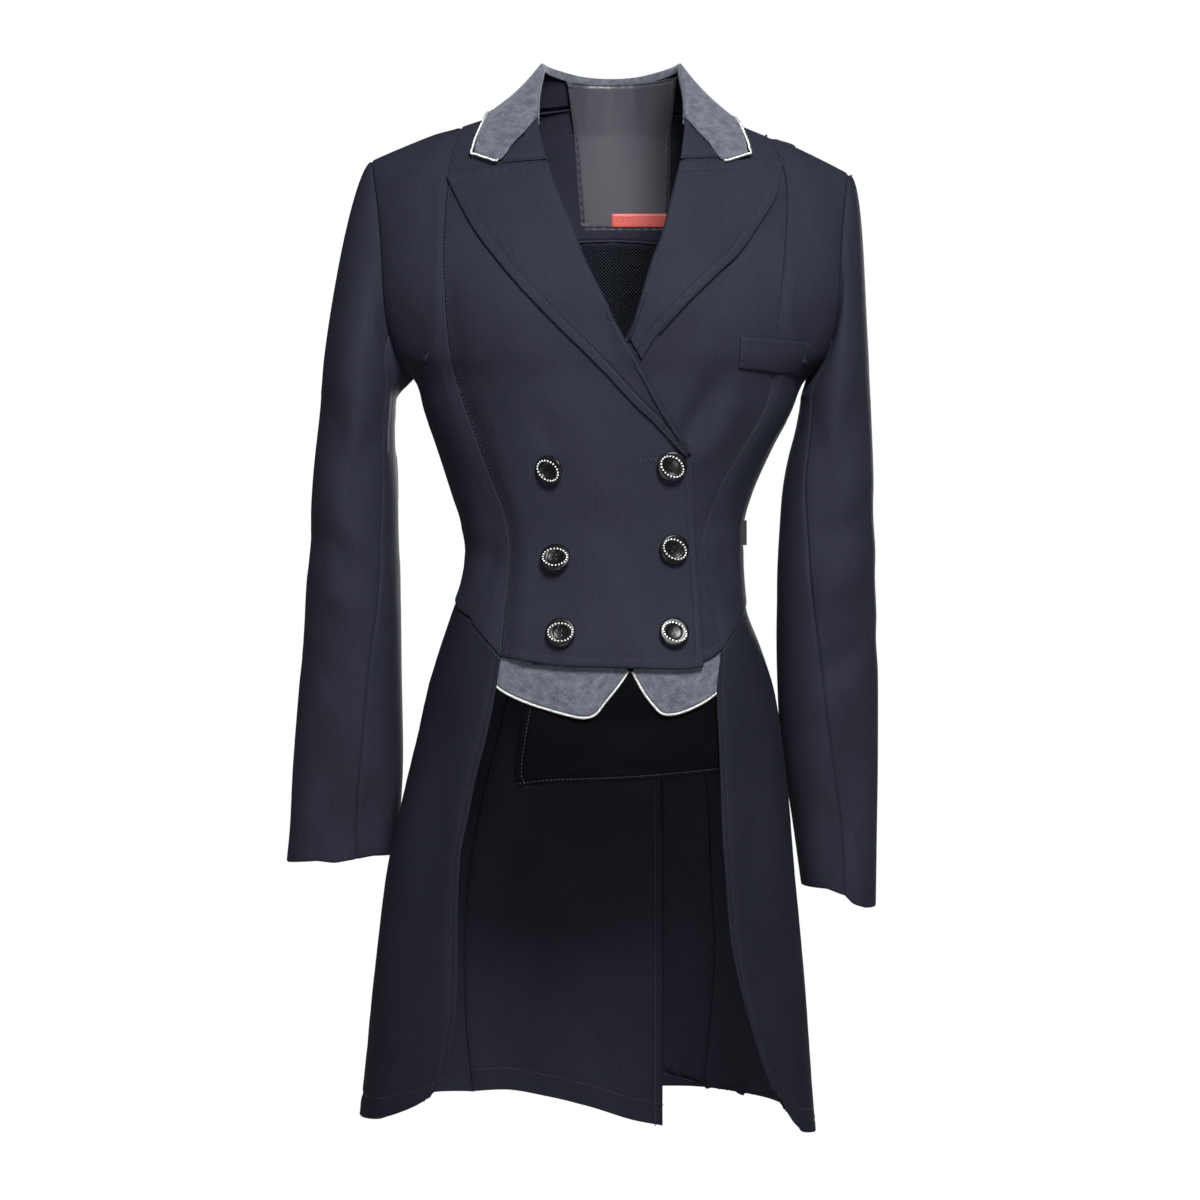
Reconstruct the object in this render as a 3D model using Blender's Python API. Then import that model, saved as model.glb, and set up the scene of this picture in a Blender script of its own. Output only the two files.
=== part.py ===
"""Women's double-breasted riding tailcoat, filled out as it is when worn.

Sizes are in millimetres and turned to metres when a mesh is made.
+X is the wearer's left, -Y the front and +Z up.  The origin lies midway between
the shoulders, level with the neck.  Every panel of the body is cut from one
form: a stack of rounded sections, read by an angle (0 at the centre front,
90 at the wearer's left side, 180 at the centre back) and a level, which is the
row of the table, 0 at the shoulder seam.
"""
import math

import bmesh
import bpy
from mathutils import Vector

MM = 0.001
CLOTH = 2.0                    # wall of a shell panel
LINING = 1.0                   # wall of lining, facing and label
SEAM_GAP = 0.3                 # between pieces sewn edge to edge
LAYER_GAP = 0.8                # between pieces that lie on each other
LAP = CLOTH + LAYER_GAP        # how far a piece stands off the one below it
FRONT_LAP = CLOTH + 2.2         # the right front over the left one
FACING_DEPTH = LAP + 1.0       # facing and mesh below the outside of the back
LABEL_DEPTH = FACING_DEPTH + LINING + 1.0

SHOULDER_HALF = 203.0          # centre to the outer end of the shoulder seam
LEFT_DROP = 1.2                # the left shoulder seam falls this much more steeply
NECK_HALF = 97.0               # centre to the neck end of the shoulder seam
NECK_SPREAD = 100.0            # half-width over which the neck bends the form
BUST_PLACE = 72.0              # fullness of the bust, out from the centre
BUST_SPREAD = 45.0

BODICE_ARM_ROWS = 8            # rows of mesh along the armhole
BODICE_SIDE_ROWS = 7           # rows along the side seam
ROW_CROWDING = 1.25            # above 1, rows are closer together at the shoulder
BODICE_ROWS = BODICE_ARM_ROWS + BODICE_SIDE_ROWS
ROLL_ROWS = 9                  # of these, rows beside the lapel's roll
FRONT_COLUMNS = 9
SHOULDER_COLUMNS = 2           # of the front's columns, those on the shoulder seam
SIDE_COLUMNS = 5
BACK_COLUMNS = 5
TAIL_ROWS = 10

FORM_COLUMNS = ("height", "right", "left", "front", "back", "square", "slope",
                "neck_front", "neck_back", "bust")
FORM = (
    # height right left front back square slope neck_front neck_back bust
    (22, -207, 207, 0, 0, 2.6, 60, 34, 76, 0),
    (19, -207, 207, 14, 15, 2.6, 59, 28, 62, 0),
    (10, -207, 207, 27, 29, 2.6, 57, 22, 49, 0),
    (-8, -207, 207, 42, 46, 2.6, 52, 15, 35, 0),
    (-38, -206, 206, 59, 66, 2.6, 42, 8, 20, 2),
    (-78, -204, 204, 77, 84, 2.6, 27, 3, 8, 6),
    (-122, -202, 202, 92, 97, 2.6, 12, 0, 1, 10),
    (-165, -197, 197, 99, 102, 2.6, 3, 0, 0, 13),
    (-203, -185, 184, 99, 101, 2.5, 0, 0, 0, 12),
    (-224, -165, 163, 97, 99, 2.45, 0, 0, 0, 10),
    (-250, -157, 152, 95, 96, 2.4, 0, 0, 0, 8),
    (-285, -147, 137, 91, 91, 2.35, 0, 0, 0, 5),
    (-320, -136, 121, 87, 86, 2.3, 0, 0, 0, 2),
    (-345, -127, 112, 85, 83, 2.3, 0, 0, 0, 0),
    (-370, -123, 112, 84, 82, 2.3, 0, 0, 0, 0),
    (-395, -126, 112, 85, 84, 2.3, 0, 0, 0, 0),
    (-420, -135, 115.5, 88, 88, 2.3, 0, 0, 0, 0),
    (-450, -145, 127, 93, 95, 2.25, 0, 0, 0, 0),
    (-485, -156, 138, 98, 102, 2.2, 0, 0, 0, 0),
    (-530, -165, 145, 103, 108, 2.2, 0, 0, 0, 0),
    (-580, -175, 149, 108, 114, 2.2, 0, 0, 0, 0),
    (-640, -187, 152.5, 113, 120, 2.2, 0, 0, 0, 0),
    (-710, -196, 159, 118, 126, 2.2, 0, 0, 0, 0),
    (-780, -205, 165.5, 122, 131, 2.2, 0, 0, 0, 0),
    (-850, -214, 173, 126, 135, 2.2, 0, 0, 0, 0),
    (-900, -219, 178, 129, 138, 2.2, 0, 0, 0, 0),
)
LAST_LEVEL = len(FORM) - 1

# Seams as (across, height) seen from the front, from the top down.
PRINCESS = {
    "right": ((-127, -9), (-135, -40), (-137, -65), (-139, -100), (-139, -135), (-137, -175),
              (-133, -210), (-125, -240), (-116, -265), (-100, -310), (-90, -335), (-85, -362),
              (-86, -388), (-89, -420), (-92, -457)),
    "left": ((131, -10), (143, -40), (147, -65), (146, -100), (143, -135), (139, -175),
             (137, -210), (132, -240), (121, -265), (96, -305), (84, -335), (77, -362),
             (80, -388), (87, -420), (92, -452)),
}
ROLL = {
    "right": ((-53, -45), (-43, -75), (-32, -102), (-21, -132), (-5, -165), (12, -196),
              (23, -216), (49, -261), (65, -286)),
    "left": ((57, -45), (49, -79), (42, -108), (33, -132), (22, -168), (11, -196),
             (1, -216), (-28, -261), (-56, -290)),
}
FRONT_EDGE = {
    "right": ((65, -286), (67, -310), (68, -340), (71, -387), (74, -434), (75, -466)),
    "left": ((-56, -290), (-64, -320), (-65, -380), (-66, -463)),
}
FRONT_HEM = {
    "right": ((-92, -457), (-46, -464.5), (-5, -466), (54, -467.5), (75, -466)),
    "left": ((92, -452), (76, -461), (40, -463), (-66, -463)),
}
ARMHOLE = ((203, -38), (197, -75), (193, -110), (191, -143), (188, -176), (181, -202), (173, -215))
UNDERARM_HEIGHT = -221
WAIST_SEAM = {
    "right": ((-92, -457), (-102, -445), (-111, -435), (-120, -423)),
    "left": ((92, -452), (100, -439), (108, -427)),
}
WAIST_AT_SIDE = -408
BACK_SEAM_COLUMNS = ("height", "angle")
BACK_SEAM = (  # angle from the centre back
    (22, 37), (-30, 37), (-100, 36), (-200, 34), (-300, 33), (-365, 31), (-408, 29), (-460, 31), (-520, 34),
    (-594, 37), (-700, 37.5), (-774, 35), (-845, 31),
)
TAIL_EDGE = {
    "right": ((-92, -457), (-97, -491), (-104, -525), (-112, -555), (-119, -590), (-125, -620),
              (-127, -670), (-127, -728), (-129, -756), (-134, -787), (-141, -806), (-150, -819)),
    "left": ((92, -452), (88, -490), (90, -540), (92, -600), (95, -641), (98, -683), (104, -718),
             (114, -756), (123, -786), (132, -810), (143, -829)),
}
TAIL_HEM = {  # front stretch up to the side, then the back stretch
    "right": (((-150, -819), (-164, -828), (-183, -837), (-199, -843)), -847,
              ((-188, -847), (-156, -842), (-123, -843.5))),
    "left": (((143, -829), (153, -845), (163, -855)), -861,
             ((163, -851), (140, -845), (116, -842))),
}
BACK_HEM = {
    "right": ((-123, -843.5), (-90, -843.5), (-57, -850), (-20, -858.5), (18, -870), (47, -875)),
    "left": ((116, -842), (79, -839.5), (46, -840), (-15, -842)),
}
VENT_EDGE = {
    "right": ((34, -408), (44, -520), (47, -640), (47, -875)),
    "left": ((-15, -408), (-15, -600), (-15, -842)),
}

LAPEL_TOP = {
    "right": ((-53, -46), (-94, -48), (-122, -51), (-138, -56)),
    "left": ((57, -46), (99, -43), (122, -41), (145, -38)),
}
LAPEL_OUTER = {
    "right": ((-138, -56), (-128, -77), (-112, -106), (-91, -134), (-68, -162), (-41, -190),
              (-13, -216), (18, -248), (33, -262), (60, -291)),
    "left": ((145, -37), (137, -70), (123, -95), (104, -123), (84, -143), (56, -172), (37, -194),
             (25, -213)),
}
LAPEL_ROLL = {
    "right": ROLL["right"],
    "left": ROLL["left"][:5] + ((13.5, -193),),
}
LAPEL_ROWS = {"right": 12, "left": 9}
LAPEL_ACROSS = 4
LAPEL_THICK = 2.0
ROLL_PROUD = 3.0               # how far the lapel's roll stands off its edge

# Cross rows of the collar from its front end to the centre back: the roll edge in space, and
# the outer and neck edges on the body as (across, height, face), the ridge being the shoulder seam.
COLLAR_ROLL = ((-61, -44, -6), (-61, -26, 18), (-58, -2, 40), (-57, 12, 45), (-52, 32, 46),
               (-40, 50, 46), (-22, 63, 45), (0, 67, 45))
COLLAR_OUTER = ((-114, -37, "front"), (-111.5, -24, "front"), (-106, -10, "front"), (-101, 0, "ridge"),
                (-93, -5, "back"), (-74, -9, "back"), (-42, -12, "back"), (0, -14, "back"))
COLLAR_NECK = ((-66, -31, "front"), (-78, -18, "front"), (-90, -5, "front"), (-95, 0, "ridge"),
               (-80, 7, "back"), (-58, 13, "back"), (-30, 18, "back"), (0, 21, "back"))
COLLAR_END = ((-70, -18), (-81, -29.5), (-91.5, -43.5), (-103, -41.5))   # front end, roll to corner
COLLAR_LIFT = 4.7
COLLAR_BASE_LIFT = 2.8
COLLAR_THICK = 1.8
COLLAR_STEPS = 22              # mesh rows round the neck
STAND_THICK = 1.5
COLLAR_CROWN = (1.0, 1.0, 1.0, 1.2, 2.6, 3.2, 3.0, 3.0)    # how far each cross row curves out
COLLAR_BASE = {
    "right": ((-61.5, -9), (-54, -43.5), (-91, -45)),
    "left": ((61.5, -9), (57.5, -43), (90, -40)),
}
BRAID_RADIUS = 1.3

POINT_TOP_HEIGHT = -448
VEST_POINT = {
    "right": ((-104, -470), (-93, -482), (-72, -492), (-50, -499), (-35, -503), (-23, -505),
              (-14, -502.5), (-7, -494), (4.5, -480), (13.3, -467.5)),
    "left": ((18.8, -467.5), (28.5, -485), (38, -497), (44, -502), (54, -502), (67, -498), (81, -491),
             (92, -483), (104, -472)),
}
POINT_THICK = 1.5
FLAP_LEFT = ((-70, -455), (-74, -493), (-79, -524), (-82, -551), (-78, -563))
FLAP_RIGHT = ((102, -455), (102, -551))
FLAP_BOTTOM = ((-78, -563), (-47, -560), (10, -558), (69, -554), (102, -551))

WELT_TOP = ((106, -193), (164, -195))
WELT_BOTTOM = ((104.5, -219), (157, -221.5))
WELT_THICK = 1.8
WELT_LIFT = WELT_THICK + 1.7
BUTTONS = ((-50, -302), (49, -298.5), (-45, -376), (50, -368), (-41, -438), (50, -438))
LABEL_CORNERS = ((-37, 38), (55, 38), (-26, -86), (52, -86))    # two upper, two lower
LABEL_BEND = -4                # above this height the label lies on the collar's stand
BUTTON_RADIUS = 12.4
BUTTON_THICK = 4.6
BUTTON_STEPS = 18
BUTTON_GAP = 0.15              # a flat button over the curve of the front
TAB_PLACE = (108, -353)
TAB_LIFT = 3.2
TAB_SIZE = (6.5, 1.0, 21)      # how far it stands out, its thickness and its height
WELT_BOW = 0.05                # a flat welt over the curve of the chest, for a column squared

SLEEVE_COLUMNS = ("height", "outer", "inner", "middle", "deep", "front_seam")
SLEEVE = {  # middle: front-to-back place of the axis; deep: half the depth; seam: its angle
    "right": ((-240, 246, 183, 2, 62, 146), (-305, 252, 181, 4, 58, 144), (-350, 255, 181, 7, 55, 139),
              (-396, 258, 180.5, 11, 51, 130), (-467, 264, 180.5, 20, 47, 117),
              (-548, 271.5, 180, 33, 42, 108), (-600, 275, 183, 43, 38, 107),
              (-632, 278.5, 185, 48, 36, 109)),
    "left": ((-240, 220, 162, 2, 62, 140), (-305, 222, 149, 4, 58, 130), (-350, 223, 145, 7, 55, 122),
             (-399, 224.5, 143, 11, 51, 112), (-470, 227, 143.5, 21, 47, 101),
             (-545, 228, 148, 34, 42, 90), (-600, 228, 157, 44, 38, 84),
             (-664, 227.5, 166, 50, 36, 84)),
}
SLEEVE_HEM_SLANT = {"right": -2.5, "left": -8.0}      # hem height, outer edge less inner edge, halved
BICEPS_HEIGHT = -240
CAP_ROWS = 5
LOWER_ROWS = 8
ARM_POINTS = 2 * BODICE_ARM_ROWS                     # corners of one sleeve ring
FRONT_SEAM_INDEX = 6                                 # ring corner where the front seam starts
BACK_SEAM_INDEX = 13
BACK_SEAM_ANGLE = 285.0

CLOTH_COLOR = (0.012, 0.013, 0.019)
SUEDE_COLOR = (0.11, 0.13, 0.155)
SILVER_COLOR = (0.62, 0.62, 0.60)
BLACK_COLOR = (0.006, 0.006, 0.007)


# ---------------------------------------------------------------- curves and tables

def hermite(before, start, end, after, share):
    """Catmull-Rom step from start to end."""
    left = (end - before) / 2
    right = (after - start) / 2
    square = share * share
    cube = square * share
    return ((2 * cube - 3 * square + 1) * start + (cube - 2 * square + share) * left
            + (3 * square - 2 * cube) * end + (cube - square) * right)


def read_row(values, at):
    """Smooth value between evenly numbered values."""
    last = len(values) - 1
    at = max(0.0, min(at, last))
    step = min(int(at), last - 1)
    before = values[step - 1] if step else 2 * values[0] - values[1]
    after = values[step + 2] if step + 2 <= last else 2 * values[last] - values[last - 1]
    return hermite(before, values[step], values[step + 1], after, at - step)


def columns_of(names, rows):
    return {name: [float(row[index]) for row in rows] for index, name in enumerate(names)}


def find_at(heights, height):
    """Row number at which a falling column of heights reaches a height."""
    low, high = 0.0, float(len(heights) - 1)
    for _ in range(40):
        middle = (low + high) / 2
        if read_row(heights, middle) > height:
            low = middle
        else:
            high = middle
    return (low + high) / 2


def trace(points, count):
    """Even steps along a smooth curve through points."""
    axes = list(zip(*points))
    fine = 12 * (len(points) - 1)
    path = [tuple(read_row(axis, step * (len(points) - 1) / fine) for axis in axes)
            for step in range(fine + 1)]
    lengths = [0.0]
    for a, b in zip(path, path[1:]):
        lengths.append(lengths[-1] + math.dist(a, b))
    result = []
    piece = 0
    for step in range(count + 1):
        target = lengths[-1] * step / count
        while piece < fine - 1 and lengths[piece + 1] < target:
            piece += 1
        share = (target - lengths[piece]) / (lengths[piece + 1] - lengths[piece])
        result.append(tuple(a + (b - a) * share for a, b in zip(path[piece], path[piece + 1])))
    return result


def even_steps(path, place_of, count, crowding=1.0):
    """Places along a fine path, spaced by true length; crowding gathers them at its start."""
    spots_3d = [place_of(*place) for place in path]
    lengths = [0.0]
    for a, b in zip(spots_3d, spots_3d[1:]):
        lengths.append(lengths[-1] + (b - a).length)
    result = []
    piece = 0
    for step in range(count + 1):
        target = lengths[-1] * (step / count) ** crowding
        while piece < len(path) - 2 and lengths[piece + 1] < target:
            piece += 1
        share = (target - lengths[piece]) / max(lengths[piece + 1] - lengths[piece], 1e-6)
        result.append(tuple(a + (b - a) * share for a, b in zip(path[piece], path[piece + 1])))
    return result


def fill(top, bottom, first, last):
    """Grid of points between four edges; first and last run from top to bottom."""
    rows, across = len(first) - 1, len(top) - 1
    grid = []
    for r in range(rows + 1):
        v = r / rows
        line = []
        for c in range(across + 1):
            u = c / across
            line.append(tuple(
                (1 - v) * t + v * b + (1 - u) * f + u * l
                - (1 - u) * (1 - v) * t0 - u * (1 - v) * t1 - (1 - u) * v * b0 - u * v * b1
                for t, b, f, l, t0, t1, b0, b1 in zip(top[c], bottom[c], first[r], last[r],
                                                      top[0], top[-1], bottom[0], bottom[-1])))
        grid.append(line)
    return grid


def ease(share):
    share = max(0.0, min(1.0, share))
    return share * share * (3 - 2 * share)


# ---------------------------------------------------------------- the body form

form = columns_of(FORM_COLUMNS, FORM)
back_seam = columns_of(BACK_SEAM_COLUMNS, BACK_SEAM)


def fall_off(x):
    return (abs(x) / SHOULDER_HALF) ** 1.5 * (LEFT_DROP if x > 0 else 1.0)


def neck_share(x):
    return max(0.0, 1 - (x / NECK_SPREAD) ** 2)


def form_point(angle, level):
    """Point of the body form at an angle in degrees and a level of the table."""
    value = {name: read_row(form[name], level) for name in FORM_COLUMNS}
    turn = math.radians(angle)
    sine, cosine = math.sin(turn), math.cos(turn)
    size = (abs(sine) ** value["square"] + abs(cosine) ** value["square"]) ** (1 / value["square"])
    x = (value["left"] + value["right"]) / 2 + (value["left"] - value["right"]) / 2 * sine / size
    if cosine >= 0:
        bust = value["bust"] * math.exp(-((abs(x) - BUST_PLACE) / BUST_SPREAD) ** 2)
        y = -value["front"] * cosine / size - value["neck_front"] * neck_share(x) - bust * cosine / size
    else:
        y = -value["back"] * cosine / size + value["neck_back"] * neck_share(x)
    return Vector((x, y, value["height"] - value["slope"] * fall_off(x)))


def form_normal(angle, level):
    turn, rise = 0.5, 0.03
    around = form_point(angle + turn, level) - form_point(angle - turn, level)
    down = form_point(angle, level + rise) - form_point(angle, max(0.0, level - rise))
    normal = around.cross(down).normalized()
    middle = form_point(angle, level)
    if normal.x * middle.x + normal.y * middle.y + max(normal.z, 0) * 40 < 0:
        normal = -normal
    seam = max(0.0, 1 - level / 0.8) * (1 - ease(neck_share(middle.x) * 6))
    normal.y *= 1 - seam       # both sides of the shoulder seam share one direction
    return normal.normalized()


def on_body(angle, level, lift=0.0):
    return form_point(angle, level) + form_normal(angle, level) * lift


def angle_across(x, level, back=False):
    """Angle at which the form is x across, at a level."""
    left, right = read_row(form["left"], level), read_row(form["right"], level)
    square = read_row(form["square"], level)
    across = (x - (left + right) / 2) / ((left - right) / 2)
    share = min(abs(across), 0.9999)
    angle = math.degrees(math.atan2(share, (1 - share ** square) ** (1 / square)))
    return math.copysign(180 - angle if back else angle, across)


def spot(x, z, back=False):
    """Angle and level at which the form shows at (x, z) from the front or the back."""
    low, high = 0.0, float(LAST_LEVEL)
    for _ in range(40):
        level = (low + high) / 2
        if read_row(form["height"], level) - read_row(form["slope"], level) * fall_off(x) > z:
            low = level
        else:
            high = level
    if low < 0.01:
        level = 0.0
    return (angle_across(x, level, back), level)


def spots(points, back=False):
    return [spot(x, z, back) for x, z in points]


def sign_of(side):
    return -1 if side == "right" else 1


def level_at(height):
    return find_at(form["height"], height)


# ---------------------------------------------------------------- meshes

def material(name, color, roughness=0.8, metallic=0.0):
    result = bpy.data.materials.new(name)
    result.use_nodes = True
    shader = result.node_tree.nodes["Principled BSDF"]
    shader.inputs["Base Color"].default_value = (*color, 1)
    shader.inputs["Roughness"].default_value = roughness
    shader.inputs["Metallic"].default_value = metallic
    return result


def add_piece(name, mesh, finish):
    piece = bpy.data.objects.new(name, mesh)
    piece.data.materials.append(finish)
    coat.objects.link(piece)
    return piece


def draw_in(sheet, gap=SEAM_GAP):
    """Moves the edges of a grid of points inwards, so that neighbours don't touch."""
    def toward(point, inner):
        way = inner - point
        return point + way * min(0.4, gap * 0.7 / max(way.length, 1e-6))
    rows = [[point.copy() for point in row] for row in sheet]
    for row, source in zip(rows, sheet):
        row[0] = toward(source[0], source[1])
        row[-1] = toward(source[-1], source[-2])
    for c in range(len(rows[0])):
        top, bottom = rows[0][c], rows[-1][c]
        rows[0][c] = toward(top, rows[1][c])
        rows[-1][c] = toward(bottom, rows[-2][c])
    return rows


def wall(name, outer, inner, finish, gap=SEAM_GAP):
    """Closed wall between two grids of points."""
    build = bmesh.new()
    sheets = [[[build.verts.new(point * MM) for point in row] for row in draw_in(sheet, gap)]
              for sheet in (outer, inner)]
    rows, across = len(outer), len(outer[0])
    for sheet in sheets:
        for r in range(rows - 1):
            for c in range(across - 1):
                build.faces.new((sheet[r][c], sheet[r][c + 1], sheet[r + 1][c + 1], sheet[r + 1][c]))
    rim = ([(0, c) for c in range(across)] + [(r, across - 1) for r in range(1, rows)]
           + [(rows - 1, c) for c in range(across - 2, -1, -1)] + [(r, 0) for r in range(rows - 2, 0, -1)])
    for (r0, c0), (r1, c1) in zip(rim, rim[1:] + rim[:1]):
        build.faces.new((sheets[0][r0][c0], sheets[0][r1][c1], sheets[1][r1][c1], sheets[1][r0][c0]))
    bmesh.ops.recalc_face_normals(build, faces=build.faces)
    mesh = bpy.data.meshes.new(name)
    build.to_mesh(mesh)
    build.free()
    mesh.shade_smooth()
    mesh.set_sharp_from_angle(angle=math.radians(40))
    return add_piece(name, mesh, finish)


def body_panel(name, grid, finish, lift=None, thick=CLOTH):
    """Panel on the body form from a grid of (angle, level); lift(row, column) raises it."""
    lift = lift or (lambda r, c: 0.0)
    outer = [[on_body(*place, lift(r, c)) for c, place in enumerate(row)] for r, row in enumerate(grid)]
    inner = [[on_body(*place, lift(r, c) - thick) for c, place in enumerate(row)]
             for r, row in enumerate(grid)]
    return wall(name, outer, inner, finish)


def flat_panel(name, grid, finish, lift, thick=CLOTH, back=False):
    """Panel from a grid of (across, height) seen from the front."""
    return body_panel(name, [spots(row, back) for row in grid], finish, lift, thick)


def tube(name, points, radius, finish):
    """Round cord through points, with closed ends."""
    curve = bpy.data.curves.new(name, "CURVE")
    curve.dimensions = "3D"
    curve.bevel_depth = radius * MM
    curve.bevel_resolution = 1
    curve.use_fill_caps = True
    spline = curve.splines.new("POLY")
    spline.points.add(len(points) - 1)
    for target, point in zip(spline.points, points):
        target.co = (*(point * MM), 1)
    return add_piece(name, curve, finish)


# ---------------------------------------------------------------- bodice

def lap_lift(height):
    """The right front stands over the left one below the crossing of the rolls."""
    return FRONT_LAP * ease((-112 - height) / 55)


def princess_edge(side):
    path = [(angle_on_ridge(PRINCESS[side][0][0]), 0.0)] + spots(trace(PRINCESS[side], 80)[1:])
    return even_steps(path, form_point, BODICE_ROWS, ROW_CROWDING)


def arm_edge(side, back=False):
    """Armhole and then side seam, from the shoulder to the waist."""
    sign = sign_of(side)
    path = [(angle_on_ridge(sign * SHOULDER_HALF, back), 0.0)]
    path += spots([(sign * x, z) for x, z in trace(ARMHOLE, 40)[1:]], back)
    path.append((sign * 90.0, level_at(UNDERARM_HEIGHT)))
    edge = even_steps(path, form_point, BODICE_ARM_ROWS, 1.1)
    for step in range(1, BODICE_SIDE_ROWS + 1):
        height = UNDERARM_HEIGHT + (WAIST_AT_SIDE - UNDERARM_HEIGHT) * step / BODICE_SIDE_ROWS
        edge.append((sign * 90.0, level_at(height)))
    return edge


def ridge_edge(start, end, count, back=False):
    """Points of the shoulder seam between two places across."""
    xs = [start + (end - start) * step / count for step in range(count + 1)]
    return [(angle_on_ridge(x, back), 0.0) for x in xs]


def angle_on_ridge(x, back=False):
    return angle_across(x, 0.0, back)


def waist_edge(side):
    """Waist seam from the princess seam to the side seam."""
    sign = sign_of(side)
    edge = spots(trace(WAIST_SEAM[side], SIDE_COLUMNS - 1))
    edge.append((sign * 90.0, level_at(WAIST_AT_SIDE)))
    return edge


def back_waist_edge(side):
    """Waist seam from the side seam to the back princess seam."""
    sign = sign_of(side)
    end = 180 - read_row(back_seam["angle"], find_at(back_seam["height"], WAIST_AT_SIDE))
    return [(sign * (90 + (end - 90) * step / SIDE_COLUMNS), level_at(WAIST_AT_SIDE))
            for step in range(SIDE_COLUMNS + 1)]


def back_princess_edge(side, top, bottom, rows):
    sign = sign_of(side)
    edge = []
    for step in range(rows + 1):
        height = top + (bottom - top) * step / rows
        angle = 180 - read_row(back_seam["angle"], find_at(back_seam["height"], height))
        edge.append((sign * angle, level_at(height)))
    return edge


def bodice_back_princess(side):
    path = back_princess_edge(side, 20, WAIST_AT_SIDE, 80)
    path[0] = (angle_on_ridge(PRINCESS[side][0][0], True), 0.0)
    return even_steps(path, form_point, BODICE_ROWS, ROW_CROWDING)


def front_panel(side, cloth):
    top_x = PRINCESS[side][0][0]
    sign = sign_of(side)
    neck = (sign * NECK_HALF, form["height"][0] - form["slope"][0] * fall_off(sign * NECK_HALF))
    princess = princess_edge(side)
    roll = spots(trace(ROLL[side], ROLL_ROWS) + trace(FRONT_EDGE[side], BODICE_ROWS - ROLL_ROWS)[1:])
    shoulder = ridge_edge(top_x, sign * NECK_HALF, SHOULDER_COLUMNS)
    neckline = spots(trace((neck, ROLL[side][0]), FRONT_COLUMNS - SHOULDER_COLUMNS))
    top = shoulder + neckline[1:]
    top[0], top[-1] = princess[0], roll[0]
    bottom = spots(trace(FRONT_HEM[side], FRONT_COLUMNS))
    bottom[0], bottom[-1] = princess[-1], roll[-1]
    grid = fill(top, bottom, princess, roll)

    def lift(r, c):
        return lap_lift(form_point(*grid[r][c]).z) * min(1.0, c) if side == "right" else 0.0
    body_panel("front_" + side, grid, cloth, lift)


def side_front_panel(side, cloth):
    princess, arm = princess_edge(side), arm_edge(side)
    sign = sign_of(side)
    top = ridge_edge(PRINCESS[side][0][0], sign * SHOULDER_HALF, SIDE_COLUMNS)
    bottom = waist_edge(side)
    top[0], top[-1], bottom[0] = princess[0], arm[0], princess[-1]
    body_panel("side_front_" + side, fill(top, bottom, princess, arm), cloth)


def side_back_panel(side, cloth):
    arm, princess = arm_edge(side, True), bodice_back_princess(side)
    sign = sign_of(side)
    top = ridge_edge(sign * SHOULDER_HALF, PRINCESS[side][0][0], SIDE_COLUMNS, True)
    bottom = back_waist_edge(side)
    top[0], top[-1], bottom[-1] = arm[0], princess[0], princess[-1]
    body_panel("side_back_" + side, fill(top, bottom, arm, princess), cloth)


def back_panel(side, cloth):
    princess = bodice_back_princess(side)
    sign = sign_of(side)
    centre = [(sign * 180.0, level) for _, level in princess]
    top = ridge_edge(PRINCESS[side][0][0], sign * 0.01, BACK_COLUMNS, True)
    top[0], top[-1] = princess[0], centre[0]
    bottom = [(princess[-1][0] + (sign * 180 - princess[-1][0]) * step / BACK_COLUMNS, princess[-1][1])
              for step in range(BACK_COLUMNS + 1)]
    body_panel("back_" + side, fill(top, bottom, princess, centre), cloth)


# ---------------------------------------------------------------- tails

def tail_back_seam(side):
    hem = BACK_HEM[side][0][1]
    edge = back_princess_edge(side, WAIST_AT_SIDE, hem, TAIL_ROWS)
    edge[-1] = spot(*BACK_HEM[side][0], True)
    return edge


def tail_front(side, cloth):
    sign = sign_of(side)
    edge = spots(trace(TAIL_EDGE[side], TAIL_ROWS))
    seam = tail_back_seam(side)
    top = waist_edge(side) + back_waist_edge(side)[1:]
    front_hem, side_height, rear_hem = TAIL_HEM[side]
    bottom = (spots(trace(front_hem, SIDE_COLUMNS - 1)) + [(sign * 90.0, level_at(side_height))]
              + spots(trace(rear_hem, SIDE_COLUMNS - 1), True))
    top[0], bottom[0], bottom[-1] = edge[0], edge[-1], seam[-1]
    body_panel("tail_front_" + side, fill(top, bottom, edge, seam), cloth)


def tail_back(side, cloth):
    """Back tail from its seam to the vent; the right one laps inside the left one."""
    sign = sign_of(side)
    seam = tail_back_seam(side)
    def past_centre(places):
        """Angles that run on past the centre back instead of changing sign there."""
        return [(angle if angle * sign > 0 else angle + sign * 360, level) for angle, level in places]
    vent = past_centre(spots(trace(VENT_EDGE[side], TAIL_ROWS), True))
    across = BACK_COLUMNS + (3 if side == "right" else 0)
    top = [(seam[0][0] + (vent[0][0] - seam[0][0]) * step / across, seam[0][1])
           for step in range(across + 1)]
    hem = past_centre(spots(trace(BACK_HEM[side], across), True))
    top[-1], hem[0], hem[-1] = vent[0], seam[-1], vent[-1]
    grid = fill(top, hem, seam, vent)

    def lift(r, c):
        x = form_point(*grid[r][c]).x
        return -(LAP + 0.6) * ease((x + 52) / 30) if side == "right" else 0.0
    body_panel("tail_back_" + side, grid, cloth, lift)


# ---------------------------------------------------------------- sleeves

def armhole_loop(side):
    """Corners of the armhole: shoulder, down the front, underarm, up the back."""
    front = arm_edge(side)[:BODICE_ARM_ROWS + 1]
    rear = arm_edge(side, True)[:BODICE_ARM_ROWS + 1]
    return [form_point(*place) for place in front + rear[-2:0:-1]]


def ring_value(loop, at):
    """Smooth point of a closed loop."""
    count = len(loop)
    step = int(math.floor(at))
    corners = [loop[(step + offset) % count] for offset in (-1, 0, 1, 2)]
    return hermite(*corners, at - step)


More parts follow.
